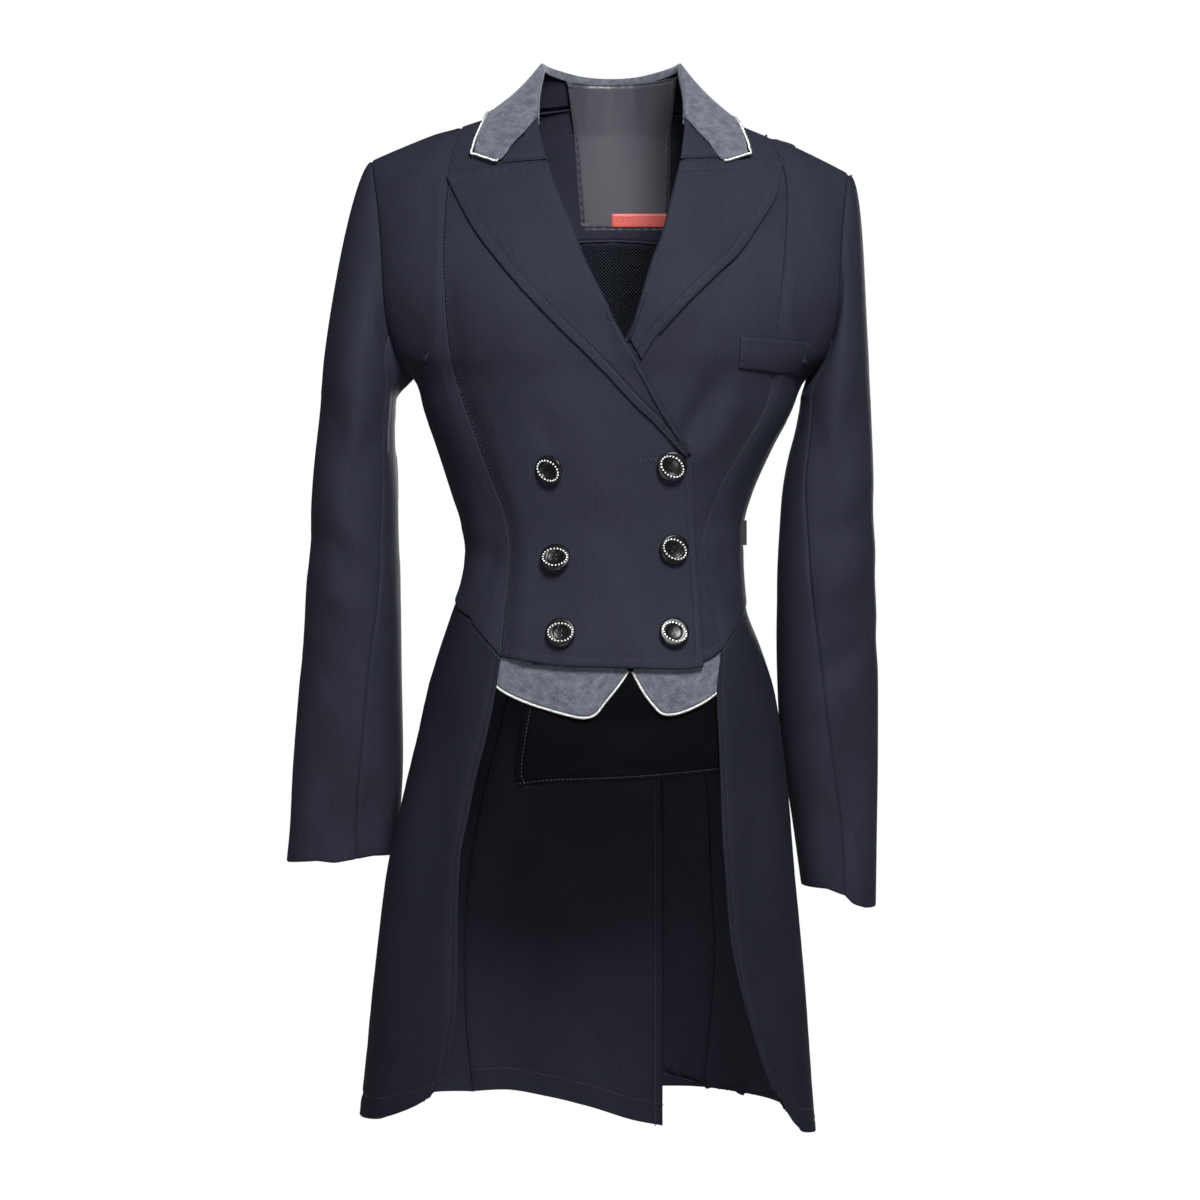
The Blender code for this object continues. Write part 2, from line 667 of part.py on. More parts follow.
def sleeve_values(side, height):
    rows = sleeve_tables[side]
    at = find_at(rows["height"], height)
    return {name: read_row(rows[name], at) for name in SLEEVE_COLUMNS}


def sleeve_ring(side, angle, height):
    """Point of the arm part at an angle: 0 outer, 90 front, 180 inner."""
    value = sleeve_values(side, height)
    turn = math.radians(angle)
    half = (value["outer"] - value["inner"]) / 2
    x = value["inner"] + half + half * math.cos(turn)
    y = value["middle"] - value["deep"] * math.sin(turn)
    low = SLEEVE[side][-1][0]
    slant = SLEEVE_HEM_SLANT[side] * ease((-height - 400) / (-low - 400)) * math.cos(turn)
    return Vector((sign_of(side) * x, y, height + slant))


def sleeve_point(side, loop, index, angle, run):
    """Point of a sleeve: run 0 at the armhole, 1 at the biceps, 2 at the hem."""
    if run > 1:
        low = SLEEVE[side][-1][0]
        return sleeve_ring(side, angle, BICEPS_HEIGHT + (low - BICEPS_HEIGHT) * (run - 1))
    start = ring_value(loop, index)
    end = sleeve_ring(side, angle, BICEPS_HEIGHT)
    sign = sign_of(side)
    reach = (end - start).length
    top = (1 + math.cos(math.radians(angle))) / 2
    front = math.sin(math.radians(angle))
    leave = Vector((sign * (0.30 * reach - 17 * top), -0.15 * reach * front,
                    -reach * (0.7 - 0.66 * top)))
    arrive = Vector((sign * 15 * top, 0, -reach * (0.8 + 0.17 * top)))
    square = run * run
    cube = square * run
    return ((2 * cube - 3 * square + 1) * start + (cube - 2 * square + run) * leave
            + (3 * square - 2 * cube) * end + (cube - square) * arrive)


def sleeve_panel(side, name, first, last, cloth):
    """Panel of the sleeve between two corners of its ring."""
    loop = armhole_loop(side)
    step_angle = 360.0 / ARM_POINTS
    outer, inner = [], []
    runs = [0.004] + [step / CAP_ROWS for step in range(1, CAP_ROWS + 1)]
    runs += [1 + step / LOWER_ROWS for step in range(1, LOWER_ROWS + 1)]
    for run in runs:
        height = BICEPS_HEIGHT + (SLEEVE[side][-1][0] - BICEPS_HEIGHT) * max(0.0, run - 1)
        seam = sleeve_values(side, height)["front_seam"]
        share = ease(min(1.0, run))
        front_angle = FRONT_SEAM_INDEX * step_angle * (1 - share) + seam * share
        back_angle = BACK_SEAM_INDEX * step_angle * (1 - share) + BACK_SEAM_ANGLE * share
        lines = ([], [])
        for corner in range(first, last + 1):
            ring = corner % ARM_POINTS
            if FRONT_SEAM_INDEX <= ring <= BACK_SEAM_INDEX:
                part = (ring - FRONT_SEAM_INDEX) / (BACK_SEAM_INDEX - FRONT_SEAM_INDEX)
                angle = front_angle + (back_angle - front_angle) * part
            else:
                beyond = ring if ring > BACK_SEAM_INDEX else ring + ARM_POINTS
                part = (beyond - BACK_SEAM_INDEX) / (ARM_POINTS - BACK_SEAM_INDEX + FRONT_SEAM_INDEX)
                angle = back_angle + (front_angle + 360 - back_angle) * part

            def place(turned, ran):
                return sleeve_point(side, loop, corner + turned / step_angle, angle + turned, ran)
            point = place(0, run)
            around = place(3, run) - place(-3, run)
            down = place(0, min(2.0, run + 0.02)) - place(0, max(0.0, run - 0.02))
            normal = around.cross(down).normalized()
            middle = Vector((sign_of(side) * 205, 2 + 40 * max(0, run - 1), point.z - 40 * (1 - min(1, run))))
            if normal.dot(point - middle) < 0:
                normal = -normal
            lines[0].append(point)
            lines[1].append(point - normal * CLOTH)
        outer.append(lines[0])
        inner.append(lines[1])
    wall(name, outer, inner, cloth, 4 * SEAM_GAP)


# ---------------------------------------------------------------- lapels and collar

def lapel(side, cloth):
    rows = LAPEL_ROWS[side]
    roll, edge = trace(LAPEL_ROLL[side], rows), trace(LAPEL_OUTER[side], rows)
    top = trace(LAPEL_TOP[side], LAPEL_ACROSS)
    bottom = trace((roll[-1], edge[-1]), LAPEL_ACROSS)
    top[0], top[-1] = roll[0], edge[0]
    grid = fill(top, bottom, roll, edge)

    def lift(r, c):
        under = lap_lift(grid[r][c][1]) if side == "right" else 0.0
        roll_share = (1 - c / LAPEL_ACROSS) ** 2 * math.sin(math.pi * min(1.0, (r + 1) / (rows + 1)))
        return under + LAYER_GAP + LAPEL_THICK + ROLL_PROUD * roll_share
    flat_panel("lapel_" + side, grid, cloth, lift, LAPEL_THICK)


def collar_base(side, cloth):
    """Dark stretch of the collar between the grey insert and the gorge seam."""
    near, low, far = COLLAR_BASE[side]
    tip_upper = (far[0] - sign_of(side) * 1.0, far[1] + 1.6)
    tip_lower = (far[0], far[1] - 0.6)
    count = 3
    grid = fill(trace((near, tip_upper), count), trace((low, tip_lower), count),
                trace((near, low), count), trace((tip_upper, tip_lower), count))
    flat_panel("collar_base_" + side, grid, cloth, lambda r, c: COLLAR_BASE_LIFT, LAPEL_THICK)


def body_place(x, z, face):
    """Angle and level of a point given across and by height on one face of the body."""
    if face == "ridge":
        return (angle_on_ridge(x), 0.0)
    return spot(x, z, face == "back")


def both_halves(half_rows):
    """Rows from the right front end round the back to the left one, from rows up to the centre back."""
    return half_rows("right") + half_rows("left")[-2::-1]


def half_collar(side, across):
    """Cross rows of half the fall, from the roll edge to the outer edge."""
    turn = -sign_of(side)
    rows = []
    for number, (x, y, z) in enumerate(COLLAR_ROLL):
        outer_x, outer_z, face = COLLAR_OUTER[number]
        end = on_body(*body_place(outer_x * turn, outer_z, face), COLLAR_LIFT)
        start = Vector((x * turn, y, z))
        away = Vector((start.x, start.y - 10, 0)).normalized()
        start = start + away * (COLLAR_THICK + 2 * LAYER_GAP)
        row = []
        for step in range(across + 1):
            share = step / across
            crown = COLLAR_CROWN[number] * math.sin(math.pi * share)
            row.append(start.lerp(end, share) + (away + Vector((0, 0, 0.5))) * crown)
        if number == 0:
            for step, (end_x, end_z) in enumerate(COLLAR_END, 1):
                row[step] = on_body(*spot(end_x * turn, end_z), COLLAR_LIFT)
        rows.append(row)
    return rows


def half_stand(side):
    """Cross rows of half the stand, from the neck seam to the roll edge."""
    turn = -sign_of(side)
    rows = []
    for (neck_x, neck_z, face), (x, y, z) in zip(COLLAR_NECK, COLLAR_ROLL):
        start = form_point(*body_place(neck_x * turn, neck_z, face))
        rows.append([start.lerp(Vector((x * turn, y, z)), share) for share in (0.06, 0.5, 0.98)])
    return rows


def refine(rows, count):
    """More rows along a strip, on smooth curves through the given rows."""
    columns = list(zip(*rows))
    last = len(rows) - 1
    fine = []
    for step in range(count + 1):
        at = step * last / count
        fine.append([Vector([read_row([point[axis] for point in column], at) for axis in range(3)])
                     for column in columns])
    return fine


def strip_wall(name, rows, thick, finish, toward_out):
    """Wall of a strip of points; its other side lies away from the neck or towards it."""
    inner = []
    for r, row in enumerate(rows):
        line = []
        for c, point in enumerate(row):
            along = rows[min(r + 1, len(rows) - 1)][c] - rows[max(r - 1, 0)][c]
            down = row[min(c + 1, len(row) - 1)] - row[max(c - 1, 0)]
            normal = along.cross(down).normalized()
            if normal.x * point.x + normal.y * (point.y - 5) + max(0, normal.z) * 30 < 0:
                normal = -normal
            line.append(point + normal * (thick * toward_out))
        inner.append(line)
    return wall(name, rows, inner, finish)


def collar(cloth, suede, silver):
    fall = refine(both_halves(lambda side: half_collar(side, len(COLLAR_END) + 1)), COLLAR_STEPS)
    strip_wall("collar_fall", fall, COLLAR_THICK, suede, -1)
    strip_wall("collar_stand", refine(both_halves(half_stand), COLLAR_STEPS), STAND_THICK, cloth, -1)
    tube("collar_braid", collar_braid_path(fall), BRAID_RADIUS, silver)


def beside(point, before, after, inside):
    """A place beside an edge, on the far side from a point inside the piece."""
    along = (after - before).normalized()
    out = point - inside
    out = (out - along * out.dot(along)).normalized()
    return point + out * (BRAID_RADIUS + 0.6)


def half_braid(fall):
    """Along one front end of the fall and round its outer edge to the centre back."""
    edge = [row[-1] for row in fall]
    end, inner = fall[0], fall[1]
    notch = len(COLLAR_END) - 1
    half = [beside(end[c], end[max(c - 1, notch)], end[c + 1], inner[c])
            for c in range(notch, len(end) - 1)]
    half.append(end[-1] + (end[-1] - inner[-2]).normalized() * (2 * BRAID_RADIUS + 1.2))
    half += [beside(edge[r], edge[r - 1], edge[r + 1], fall[r][-2]) for r in range(1, len(edge) // 2 + 1)]
    return half


def collar_braid_path(fall):
    """Along one front end of the fall, round its outer edge and along the other end."""
    return half_braid(fall) + half_braid(fall[::-1])[-2::-1]


# ---------------------------------------------------------------- small pieces

def vest_point(side, suede, silver):
    across, rows = 9, 4
    edge = trace(VEST_POINT[side], across)
    top = [(x, POINT_TOP_HEIGHT) for x, _ in edge]
    start, end = trace((top[0], edge[0]), rows), trace((top[-1], edge[-1]), rows)
    grid = fill(top, edge, start, end)
    lift = -LAP - 0.4
    flat_panel("vest_point_" + side, grid, suede, lambda r, c: lift, POINT_THICK)
    cord = []
    for before, (x, z), after in zip([edge[0]] + edge, edge, edge[1:] + [edge[-1]]):
        along = Vector((after[0] - before[0], after[1] - before[1])).normalized()
        drop = BRAID_RADIUS + 0.5
        cord.append(on_body(*spot(x + along[1] * drop, z - along[0] * drop), lift - POINT_THICK / 2))
    tube("vest_braid_" + side, cord, BRAID_RADIUS, silver)


def underlap_flap(cloth):
    across, rows = 8, 5
    left, right = trace(FLAP_LEFT, rows), trace(FLAP_RIGHT, rows)
    grid = fill(trace((left[0], right[0]), across), trace(FLAP_BOTTOM, across), left, right)
    flat_panel("underlap_flap", grid, cloth, lambda r, c: -2 * LAP - 0.2)


def breast_welt(cloth):
    top, bottom = trace(WELT_TOP, 5), trace(WELT_BOTTOM, 5)
    grid = fill(top, bottom, trace((top[0], bottom[0]), 2), trace((top[-1], bottom[-1]), 2))
    flat_panel("breast_welt", grid, cloth, lambda r, c: WELT_LIFT + WELT_BOW * c * c, WELT_THICK)


def inside_back(cloth, mesh_cloth, label_cloth):
    """What shows inside the neck: facing, mesh lining and a bare label."""
    def arc(height, half_angle, count):
        level = level_at(height)
        return [(180 - half_angle + 2 * half_angle * step / count, level) for step in range(count + 1)]

    def panel(name, top, bottom, rows, half_top, half_bottom, finish, lift, thick):
        grid = []
        for step in range(rows + 1):
            share = step / rows
            grid.append(arc(top + (bottom - top) * share, half_top + (half_bottom - half_top) * share, 10))
        body_panel(name, grid, finish, lambda r, c: lift, thick)
    panel("back_neck_facing", 0, -96, 4, 24, 30, cloth, -FACING_DEPTH, LINING)
    panel("back_lining", -98, -330, 8, 31, 50, mesh_cloth, -FACING_DEPTH + 0.4, LINING)
    rows = label_rows()
    strip_wall("neck_label", rows, LINING, label_cloth, -1)


def label_rows():
    """Label from the inside of the stand down over the facing."""
    neck = both_halves(lambda side: [(-x * sign_of(side), y) for x, y, _ in COLLAR_ROLL])
    upper = trace((LABEL_CORNERS[0], LABEL_CORNERS[1]), 6)
    lower = trace((LABEL_CORNERS[2], LABEL_CORNERS[3]), 6)
    grid = fill(upper, lower, trace((upper[0], lower[0]), 7), trace((upper[-1], lower[-1]), 7))
    rows = []
    for line in grid:
        row = []
        for x, z in line:
            foot = on_body(*spot(x, min(z, LABEL_BEND), True), -LABEL_DEPTH)
            if z > LABEL_BEND:
                at = find_at([-point[0] for point in neck], -x)
                top = Vector((x, read_row([point[1] for point in neck], at) - 3.5, upper[0][1]))
                foot = foot.lerp(top, (z - LABEL_BEND) / (upper[0][1] - LABEL_BEND))
            row.append(foot)
        rows.append(row)
    return rows


def side_tab(finish):
    """Woven tab sewn in the side seam."""
    place = spot(*TAB_PLACE)
    point, normal = on_body(*place, TAB_LIFT), form_normal(*place)
    bpy.ops.mesh.primitive_cube_add(size=1)
    tab = bpy.context.object
    tab.name = tab.data.name = "side_tab"
    for vertex in tab.data.vertices:
        vertex.co = Vector(edge * size for edge, size in zip(vertex.co, TAB_SIZE)) * MM
    tab.rotation_euler = (0, 0, math.atan2(normal.y, normal.x))
    tab.location = point * MM
    tab.data.materials.append(finish)
    for holder in tab.users_collection:
        holder.objects.unlink(tab)
    coat.objects.link(tab)


def button_mesh(finish):
    """Turned button: rounded rim round a dished middle, on a low boss."""
    r, t = BUTTON_RADIUS, BUTTON_THICK
    profile = ((0, t - 1.2), (r * 0.40, t - 1.3), (r * 0.52, t - 0.3), (r * 0.80, t), (r * 0.95, t * 0.78),
               (r, t * 0.5), (r * 0.9, t * 0.16), (r * 0.34, 0.7), (r * 0.3, 0), (0, 0))
    build = bmesh.new()
    rings = []
    for radius, height in profile:
        if radius == 0:
            rings.append([build.verts.new(Vector((0, 0, height)) * MM)])
            continue
        rings.append([build.verts.new(Vector((radius * math.cos(a), radius * math.sin(a), height)) * MM)
                      for a in (2 * math.pi * step / BUTTON_STEPS for step in range(BUTTON_STEPS))])
    for upper, lower in zip(rings, rings[1:]):
        for step in range(BUTTON_STEPS):
            after = (step + 1) % BUTTON_STEPS
            corners = [upper[step % len(upper)], upper[after % len(upper)],
                       lower[after % len(lower)], lower[step % len(lower)]]
            build.faces.new(list(dict.fromkeys(corners)))
    bmesh.ops.recalc_face_normals(build, faces=build.faces)
    mesh = bpy.data.meshes.new("button")
    build.to_mesh(mesh)
    build.free()
    mesh.shade_smooth()
    mesh.set_sharp_from_angle(angle=math.radians(50))
    mesh.materials.append(finish)
    return mesh


def buttons(finish):
    mesh = button_mesh(finish)
    for number, (x, z) in enumerate(BUTTONS, 1):
        place = spot(x, z)
        button = bpy.data.objects.new(f"button_{number}", mesh)
        button.location = on_body(*place, FRONT_LAP + LAYER_GAP + BUTTON_GAP) * MM
        button.rotation_euler = form_normal(*place).to_track_quat("Z", "Y").to_euler()
        coat.objects.link(button)


# ---------------------------------------------------------------- the coat

for leftover in list(bpy.data.objects):
    bpy.data.objects.remove(leftover)
coat = bpy.data.collections.new("tailcoat")
bpy.context.scene.collection.children.link(coat)
sleeve_tables = {side: columns_of(SLEEVE_COLUMNS, SLEEVE[side]) for side in SLEEVE}

shell = material("stretch_cloth", CLOTH_COLOR)
suede_cloth = material("suede", SUEDE_COLOR, 0.95)
braid_silver = material("silver_braid", SILVER_COLOR, 0.4, 0.6)
mesh_lining = material("mesh_lining", BLACK_COLOR, 0.7)
label_satin = material("label_satin", BLACK_COLOR, 0.5)
button_black = material("button_black", BLACK_COLOR, 0.2)

for panel_side in ("right", "left"):
    front_panel(panel_side, shell)
    side_front_panel(panel_side, shell)
    side_back_panel(panel_side, shell)
    back_panel(panel_side, shell)
    tail_front(panel_side, shell)
    tail_back(panel_side, shell)
    sleeve_panel(panel_side, "sleeve_upper_" + panel_side, BACK_SEAM_INDEX,
                 ARM_POINTS + FRONT_SEAM_INDEX, shell)
    sleeve_panel(panel_side, "sleeve_under_" + panel_side, FRONT_SEAM_INDEX, BACK_SEAM_INDEX, shell)
    lapel(panel_side, shell)
    collar_base(panel_side, shell)
    vest_point(panel_side, suede_cloth, braid_silver)
collar(shell, suede_cloth, braid_silver)
underlap_flap(shell)
breast_welt(shell)
inside_back(shell, mesh_lining, label_satin)
side_tab(label_satin)
buttons(button_black)
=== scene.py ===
"""Looks of a women's riding tailcoat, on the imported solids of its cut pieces.

Sizes here are in millimetres and turned to metres when a mesh is made. +X is the wearer's left,
-Y the front, +Z up. Every panel of the body lies on one form, which the solids were cut from too:
a stack of rounded sections, read by an angle (0 centre front, 90 wearer's left side, 180 centre
back) and a level, the row of the table. Cloth panels are finer grids on that form, with seams
pressed in, turned edges, creases and topstitching.
"""
import math

import bmesh
import bpy
import numpy as np
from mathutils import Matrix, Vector


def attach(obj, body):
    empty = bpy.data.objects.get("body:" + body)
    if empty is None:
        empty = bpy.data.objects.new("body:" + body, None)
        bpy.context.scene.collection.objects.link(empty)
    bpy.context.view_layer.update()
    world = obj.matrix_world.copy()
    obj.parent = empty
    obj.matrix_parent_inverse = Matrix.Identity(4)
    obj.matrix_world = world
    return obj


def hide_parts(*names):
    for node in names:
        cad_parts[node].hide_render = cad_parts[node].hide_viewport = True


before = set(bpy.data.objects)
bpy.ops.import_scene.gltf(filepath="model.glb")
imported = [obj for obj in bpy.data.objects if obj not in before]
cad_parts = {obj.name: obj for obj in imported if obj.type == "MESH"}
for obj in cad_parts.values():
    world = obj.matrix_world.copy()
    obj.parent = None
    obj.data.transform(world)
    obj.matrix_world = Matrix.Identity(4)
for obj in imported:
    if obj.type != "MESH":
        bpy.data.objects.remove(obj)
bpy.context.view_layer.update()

MM = 0.001
PIXEL = 0.85                   # millimetres to a pixel of the 1200-pixel photograph, at the origin's depth
VIEW_MIDDLE = (-9.35, -409.7)  # what the middle of the picture shows, across and in height
VIEW_DISTANCE = 3000.0
SENSOR = 36.0

CLOTH = 1.8                    # shell cloth with its facing or seam allowance
LINING = 1.0
LAP = 2.8                      # how far a piece stands off the one below it
FRONT_LAP = 4.2                # the right front over the left one
FACING_DEPTH = 3.8
LABEL_DEPTH = 5.8
LAPEL_THICK = 2.0
BRAID_RADIUS = 1.3

# ---------------------------------------------------------------- the form, as in the solids' source

SHOULDER_HALF = 203.0
LEFT_DROP = 1.2                # the left shoulder seam falls this much more steeply
NECK_HALF = 97.0
NECK_SPREAD = 100.0
BUST_PLACE = 72.0
BUST_SPREAD = 45.0
HEIGHT, RIGHT, LEFT, FRONT, BACK, SQUARE, SLOPE, NECK_FRONT, NECK_BACK, BUST = range(10)
FORM = np.array((
    # height right left front back square slope neck_front neck_back bust
    (22, -207, 207, 0, 0, 2.6, 60, 34, 76, 0),
    (19, -207, 207, 14, 15, 2.6, 59, 28, 62, 0),
    (10, -207, 207, 27, 29, 2.6, 57, 22, 49, 0),
    (-8, -207, 207, 42, 46, 2.6, 52, 15, 35, 0),
    (-38, -206, 206, 59, 66, 2.6, 42, 8, 20, 2),
    (-78, -204, 204, 77, 84, 2.6, 27, 3, 8, 6),
    (-122, -202, 202, 92, 97, 2.6, 12, 0, 1, 10),
    (-165, -197, 197, 99, 102, 2.6, 3, 0, 0, 13),
    (-203, -185, 184, 99, 101, 2.5, 0, 0, 0, 12),
    (-224, -165, 163, 97, 99, 2.45, 0, 0, 0, 10),
    (-250, -157, 152, 95, 96, 2.4, 0, 0, 0, 8),
    (-285, -147, 137, 91, 91, 2.35, 0, 0, 0, 5),
    (-320, -136, 121, 87, 86, 2.3, 0, 0, 0, 2),
    (-345, -127, 112, 85, 83, 2.3, 0, 0, 0, 0),
    (-370, -123, 112, 84, 82, 2.3, 0, 0, 0, 0),
    (-395, -126, 112, 85, 84, 2.3, 0, 0, 0, 0),
    (-420, -135, 115.5, 88, 88, 2.3, 0, 0, 0, 0),
    (-450, -145, 127, 93, 95, 2.25, 0, 0, 0, 0),
    (-485, -156, 138, 98, 102, 2.2, 0, 0, 0, 0),
    (-530, -165, 145, 103, 108, 2.2, 0, 0, 0, 0),
    (-580, -175, 149, 108, 114, 2.2, 0, 0, 0, 0),
    (-640, -187, 152.5, 113, 120, 2.2, 0, 0, 0, 0),
    (-710, -196, 159, 118, 126, 2.2, 0, 0, 0, 0),
    (-780, -205, 165.5, 122, 131, 2.2, 0, 0, 0, 0),
    (-850, -214, 173, 126, 135, 2.2, 0, 0, 0, 0),
    (-900, -219, 178, 129, 138, 2.2, 0, 0, 0, 0),
), float)

# Seams and edges as (across, height) seen from the front, from the top down.
PRINCESS = {
    "right": ((-127, -9), (-135, -40), (-137, -65), (-139, -100), (-139, -135), (-137, -175),
              (-133, -210), (-125, -240), (-116, -265), (-100, -310), (-90, -335), (-85, -362),
              (-86, -388), (-89, -420), (-92, -457)),
    "left": ((131, -10), (143, -40), (147, -65), (146, -100), (143, -135), (139, -175),
             (137, -210), (132, -240), (121, -265), (96, -305), (84, -335), (77, -362),
             (80, -388), (87, -420), (92, -452)),
}
ROLL = {
    "right": ((-53, -45), (-43, -75), (-32, -102), (-21, -132), (-5, -165), (12, -196),
              (23, -216), (49, -261), (65, -286)),
    "left": ((57, -45), (49, -79), (42, -108), (33, -132), (22, -168), (11, -196),
             (1, -216), (-28, -261), (-56, -290)),
}
FRONT_EDGE = {
    "right": ((65, -286), (67, -310), (68, -340), (71, -387), (74, -434), (75, -466)),
    "left": ((-56, -290), (-64, -320), (-65, -380), (-66, -463)),
}
FRONT_HEM = {
    "right": ((-92, -457), (-46, -464.5), (-5, -466), (54, -467.5), (75, -466)),
    "left": ((92, -452), (76, -461), (40, -463), (-66, -463)),
}
ARMHOLE = ((203, -38), (197, -75), (193, -110), (191, -143), (188, -176), (181, -202), (173, -215))
UNDERARM_HEIGHT = -221
WAIST_SEAM = {
    "right": ((-92, -457), (-102, -445), (-111, -435), (-120, -423)),
    "left": ((92, -452), (100, -439), (108, -427)),
}
WAIST_AT_SIDE = -408
BACK_SEAM = np.array((  # height and angle from the centre back
    (22, 37), (-30, 37), (-100, 36), (-200, 34), (-300, 33), (-365, 31), (-408, 29), (-460, 31), (-520, 34),
    (-594, 37), (-700, 37.5), (-774, 35), (-845, 31),
), float)
TAIL_EDGE = {
    "right": ((-92, -457), (-97, -491), (-104, -525), (-112, -555), (-119, -590), (-125, -620),
              (-127, -670), (-127, -728), (-129, -756), (-134, -787), (-141, -806), (-150, -819)),
    "left": ((92, -452), (88, -490), (90, -540), (92, -600), (95, -641), (98, -683), (104, -718),
             (114, -756), (123, -786), (132, -810), (143, -829)),
}
TAIL_HEM = {  # front stretch up to the side, then the back stretch
    "right": (((-150, -819), (-164, -828), (-183, -837), (-199, -843)), -847,
              ((-188, -847), (-156, -842), (-123, -843.5))),
    "left": (((143, -829), (153, -845), (163, -855)), -861,
             ((163, -851), (140, -845), (116, -842))),
}
BACK_HEM = {
    "right": ((-123, -843.5), (-90, -843.5), (-57, -850), (-20, -858.5), (18, -870), (47, -875)),
    "left": ((116, -842), (79, -839.5), (46, -840), (-15, -842)),
}
VENT_EDGE = {
    "right": ((34, -408), (44, -520), (47, -640), (47, -875)),
    "left": ((-15, -408), (-15, -600), (-15, -842)),
}
LAPEL_TOP = {
    "right": ((-53, -46), (-94, -48), (-122, -51), (-138, -56)),
    "left": ((57, -46), (99, -43), (122, -41), (145, -38)),
}
LAPEL_OUTER = {
    "right": ((-138, -56), (-128, -77), (-112, -106), (-91, -134), (-68, -162), (-41, -190),
              (-13, -216), (18, -248), (33, -262), (60, -291)),
    "left": ((145, -37), (137, -70), (123, -95), (104, -123), (84, -143), (56, -172), (37, -194),
             (25, -213)),
}
LAPEL_ROLL = {"right": ROLL["right"], "left": ROLL["left"][:5] + ((13.5, -193),)}
LAPEL_PROUD = 3.0
# the roll is 1.5 mm higher at the sides of the neck and 3.5 mm lower behind it than the solid's
COLLAR_ROLL = np.array(((-61, -44, -6), (-61, -26, 18), (-58, -2, 41), (-57, 12, 46.5), (-52, 32, 46.5),
                        (-40, 50, 45), (-22, 63, 42.5), (0, 67, 41.5)), float)
COLLAR_OUTER = ((-114, -37, "front"), (-111.5, -24, "front"), (-106, -10, "front"), (-101, 0, "ridge"),
                (-93, -5, "back"), (-74, -9, "back"), (-42, -12, "back"), (0, -14, "back"))
COLLAR_NECK = ((-66, -31, "front"), (-78, -18, "front"), (-90, -5, "front"), (-95, 0, "ridge"),
               (-80, 7, "back"), (-58, 13, "back"), (-30, 18, "back"), (0, 21, "back"))
COLLAR_END = ((-70, -18), (-81, -29.5), (-91.5, -43.5), (-103, -41.5))
COLLAR_LIFT = 4.7
COLLAR_BASE_LIFT = 2.8
COLLAR_THICK = 1.8
COLLAR_CROWN = np.array((0.6, -0.2, -1.6, -2.6, -1.4, 1.6, 3.0, 3.0))    # the solid's is fuller at the shoulder
COLLAR_BASE = {
    "right": ((-61.5, -9), (-54, -43.5), (-91, -45)),
    "left": ((61.5, -9), (57.5, -43), (90, -40)),
}
POINT_TOP_HEIGHT = -448
VEST_POINT = {
    "right": ((-104, -470), (-93, -482), (-72, -492), (-50, -499), (-35, -503), (-23, -505),
              (-14, -502.5), (-7, -494), (4.5, -480), (13.3, -467.5)),
    "left": ((18.8, -467.5), (28.5, -485), (38, -497), (44, -502), (54, -502), (67, -498), (81, -491),
             (92, -483), (104, -472)),
}
FLAP_LEFT = ((-70, -455), (-74, -493), (-79, -524), (-82, -551), (-78, -563))
FLAP_RIGHT = ((102, -455), (102, -551))
FLAP_BOTTOM = ((-78, -563), (-47, -560), (10, -558), (69, -554), (102, -551))
WELT_TOP = ((106, -193), (164, -195))
WELT_BOTTOM = ((104.5, -219), (157, -221.5))
WELT_LIFT, WELT_THICK, WELT_STITCH_IN = 3.5, 1.8, 2.0
LABEL_CORNERS = ((-37, 38), (55, 38), (-26, -86), (52, -86))
LABEL_BEND = -4
SLEEVE_HEIGHT, OUTER, INNER, MIDDLE, DEEP, FRONT_SEAM = range(6)
SLEEVE = {
    "right": np.array(((-240, 246, 183, 2, 62, 146), (-305, 252, 181, 4, 58, 144), (-350, 255, 181, 7, 55, 139),
                       (-396, 258, 180.5, 11, 51, 130), (-467, 264, 180.5, 20, 47, 117),
                       (-548, 271.5, 180, 33, 42, 108), (-600, 275, 183, 43, 38, 107),
                       (-632, 278.5, 185, 48, 36, 109)), float),
    "left": np.array(((-240, 220, 162, 2, 62, 140), (-305, 222, 149, 4, 58, 130), (-350, 223, 145, 7, 55, 122),
                      (-399, 224.5, 143, 11, 51, 112), (-470, 227, 143.5, 21, 47, 101),
                      (-545, 228, 148, 34, 42, 90), (-600, 228, 157, 44, 38, 84),
                      (-664, 227.5, 166, 50, 36, 84)), float),
}
SLEEVE_HEM_SLANT = {"right": -2.5, "left": -8.0}
SLANT_START = -400
BICEPS_HEIGHT = -240
BACK_SEAM_ANGLE = 285.0
RING_CORNERS = 16              # the solids' count, which the seams' places are given in
FRONT_SEAM_CORNER = 6
BACK_SEAM_CORNER = 13
ARM_SHARE = 8 / 15             # of a bodice panel's rows, those beside the armhole
ROLL_SHARE = 9 / 15            # those beside the lapel's roll
SHOULDER_SHARE = 2 / 9         # of a front's columns, those on the shoulder seam
ROW_CROWDING = 1.25
ARM_CROWDING = 1.1


def side_sign(side):
    return -1 if side == "right" else 1


def smooth_read(values, at):
    """Catmull-Rom reading between evenly numbered rows of values."""
    values = np.asarray(values, float)
    at = np.asarray(at, float)
    last = len(values) - 1
    at = np.clip(at, 0, last)
    step = np.minimum(at.astype(int), last - 1)
    share = at - step
    if values.ndim > 1:
        share = share.reshape(share.shape + (1,) * (values.ndim - 1))
    padded = np.concatenate([[2 * values[0] - values[1]], values, [2 * values[-1] - values[-2]]])
    before, start, end, after = (padded[step + k] for k in range(4))
    return hermite(start, end, (end - before) / 2, (after - start) / 2, share)


def hermite(start, end, leave, arrive, share):
    square, cube = share ** 2, share ** 3
    return ((2 * cube - 3 * square + 1) * start + (cube - 2 * square + share) * leave
            + (3 * square - 2 * cube) * end + (cube - square) * arrive)


def ease(share):
    share = np.clip(share, 0, 1)
    return share * share * (3 - 2 * share)


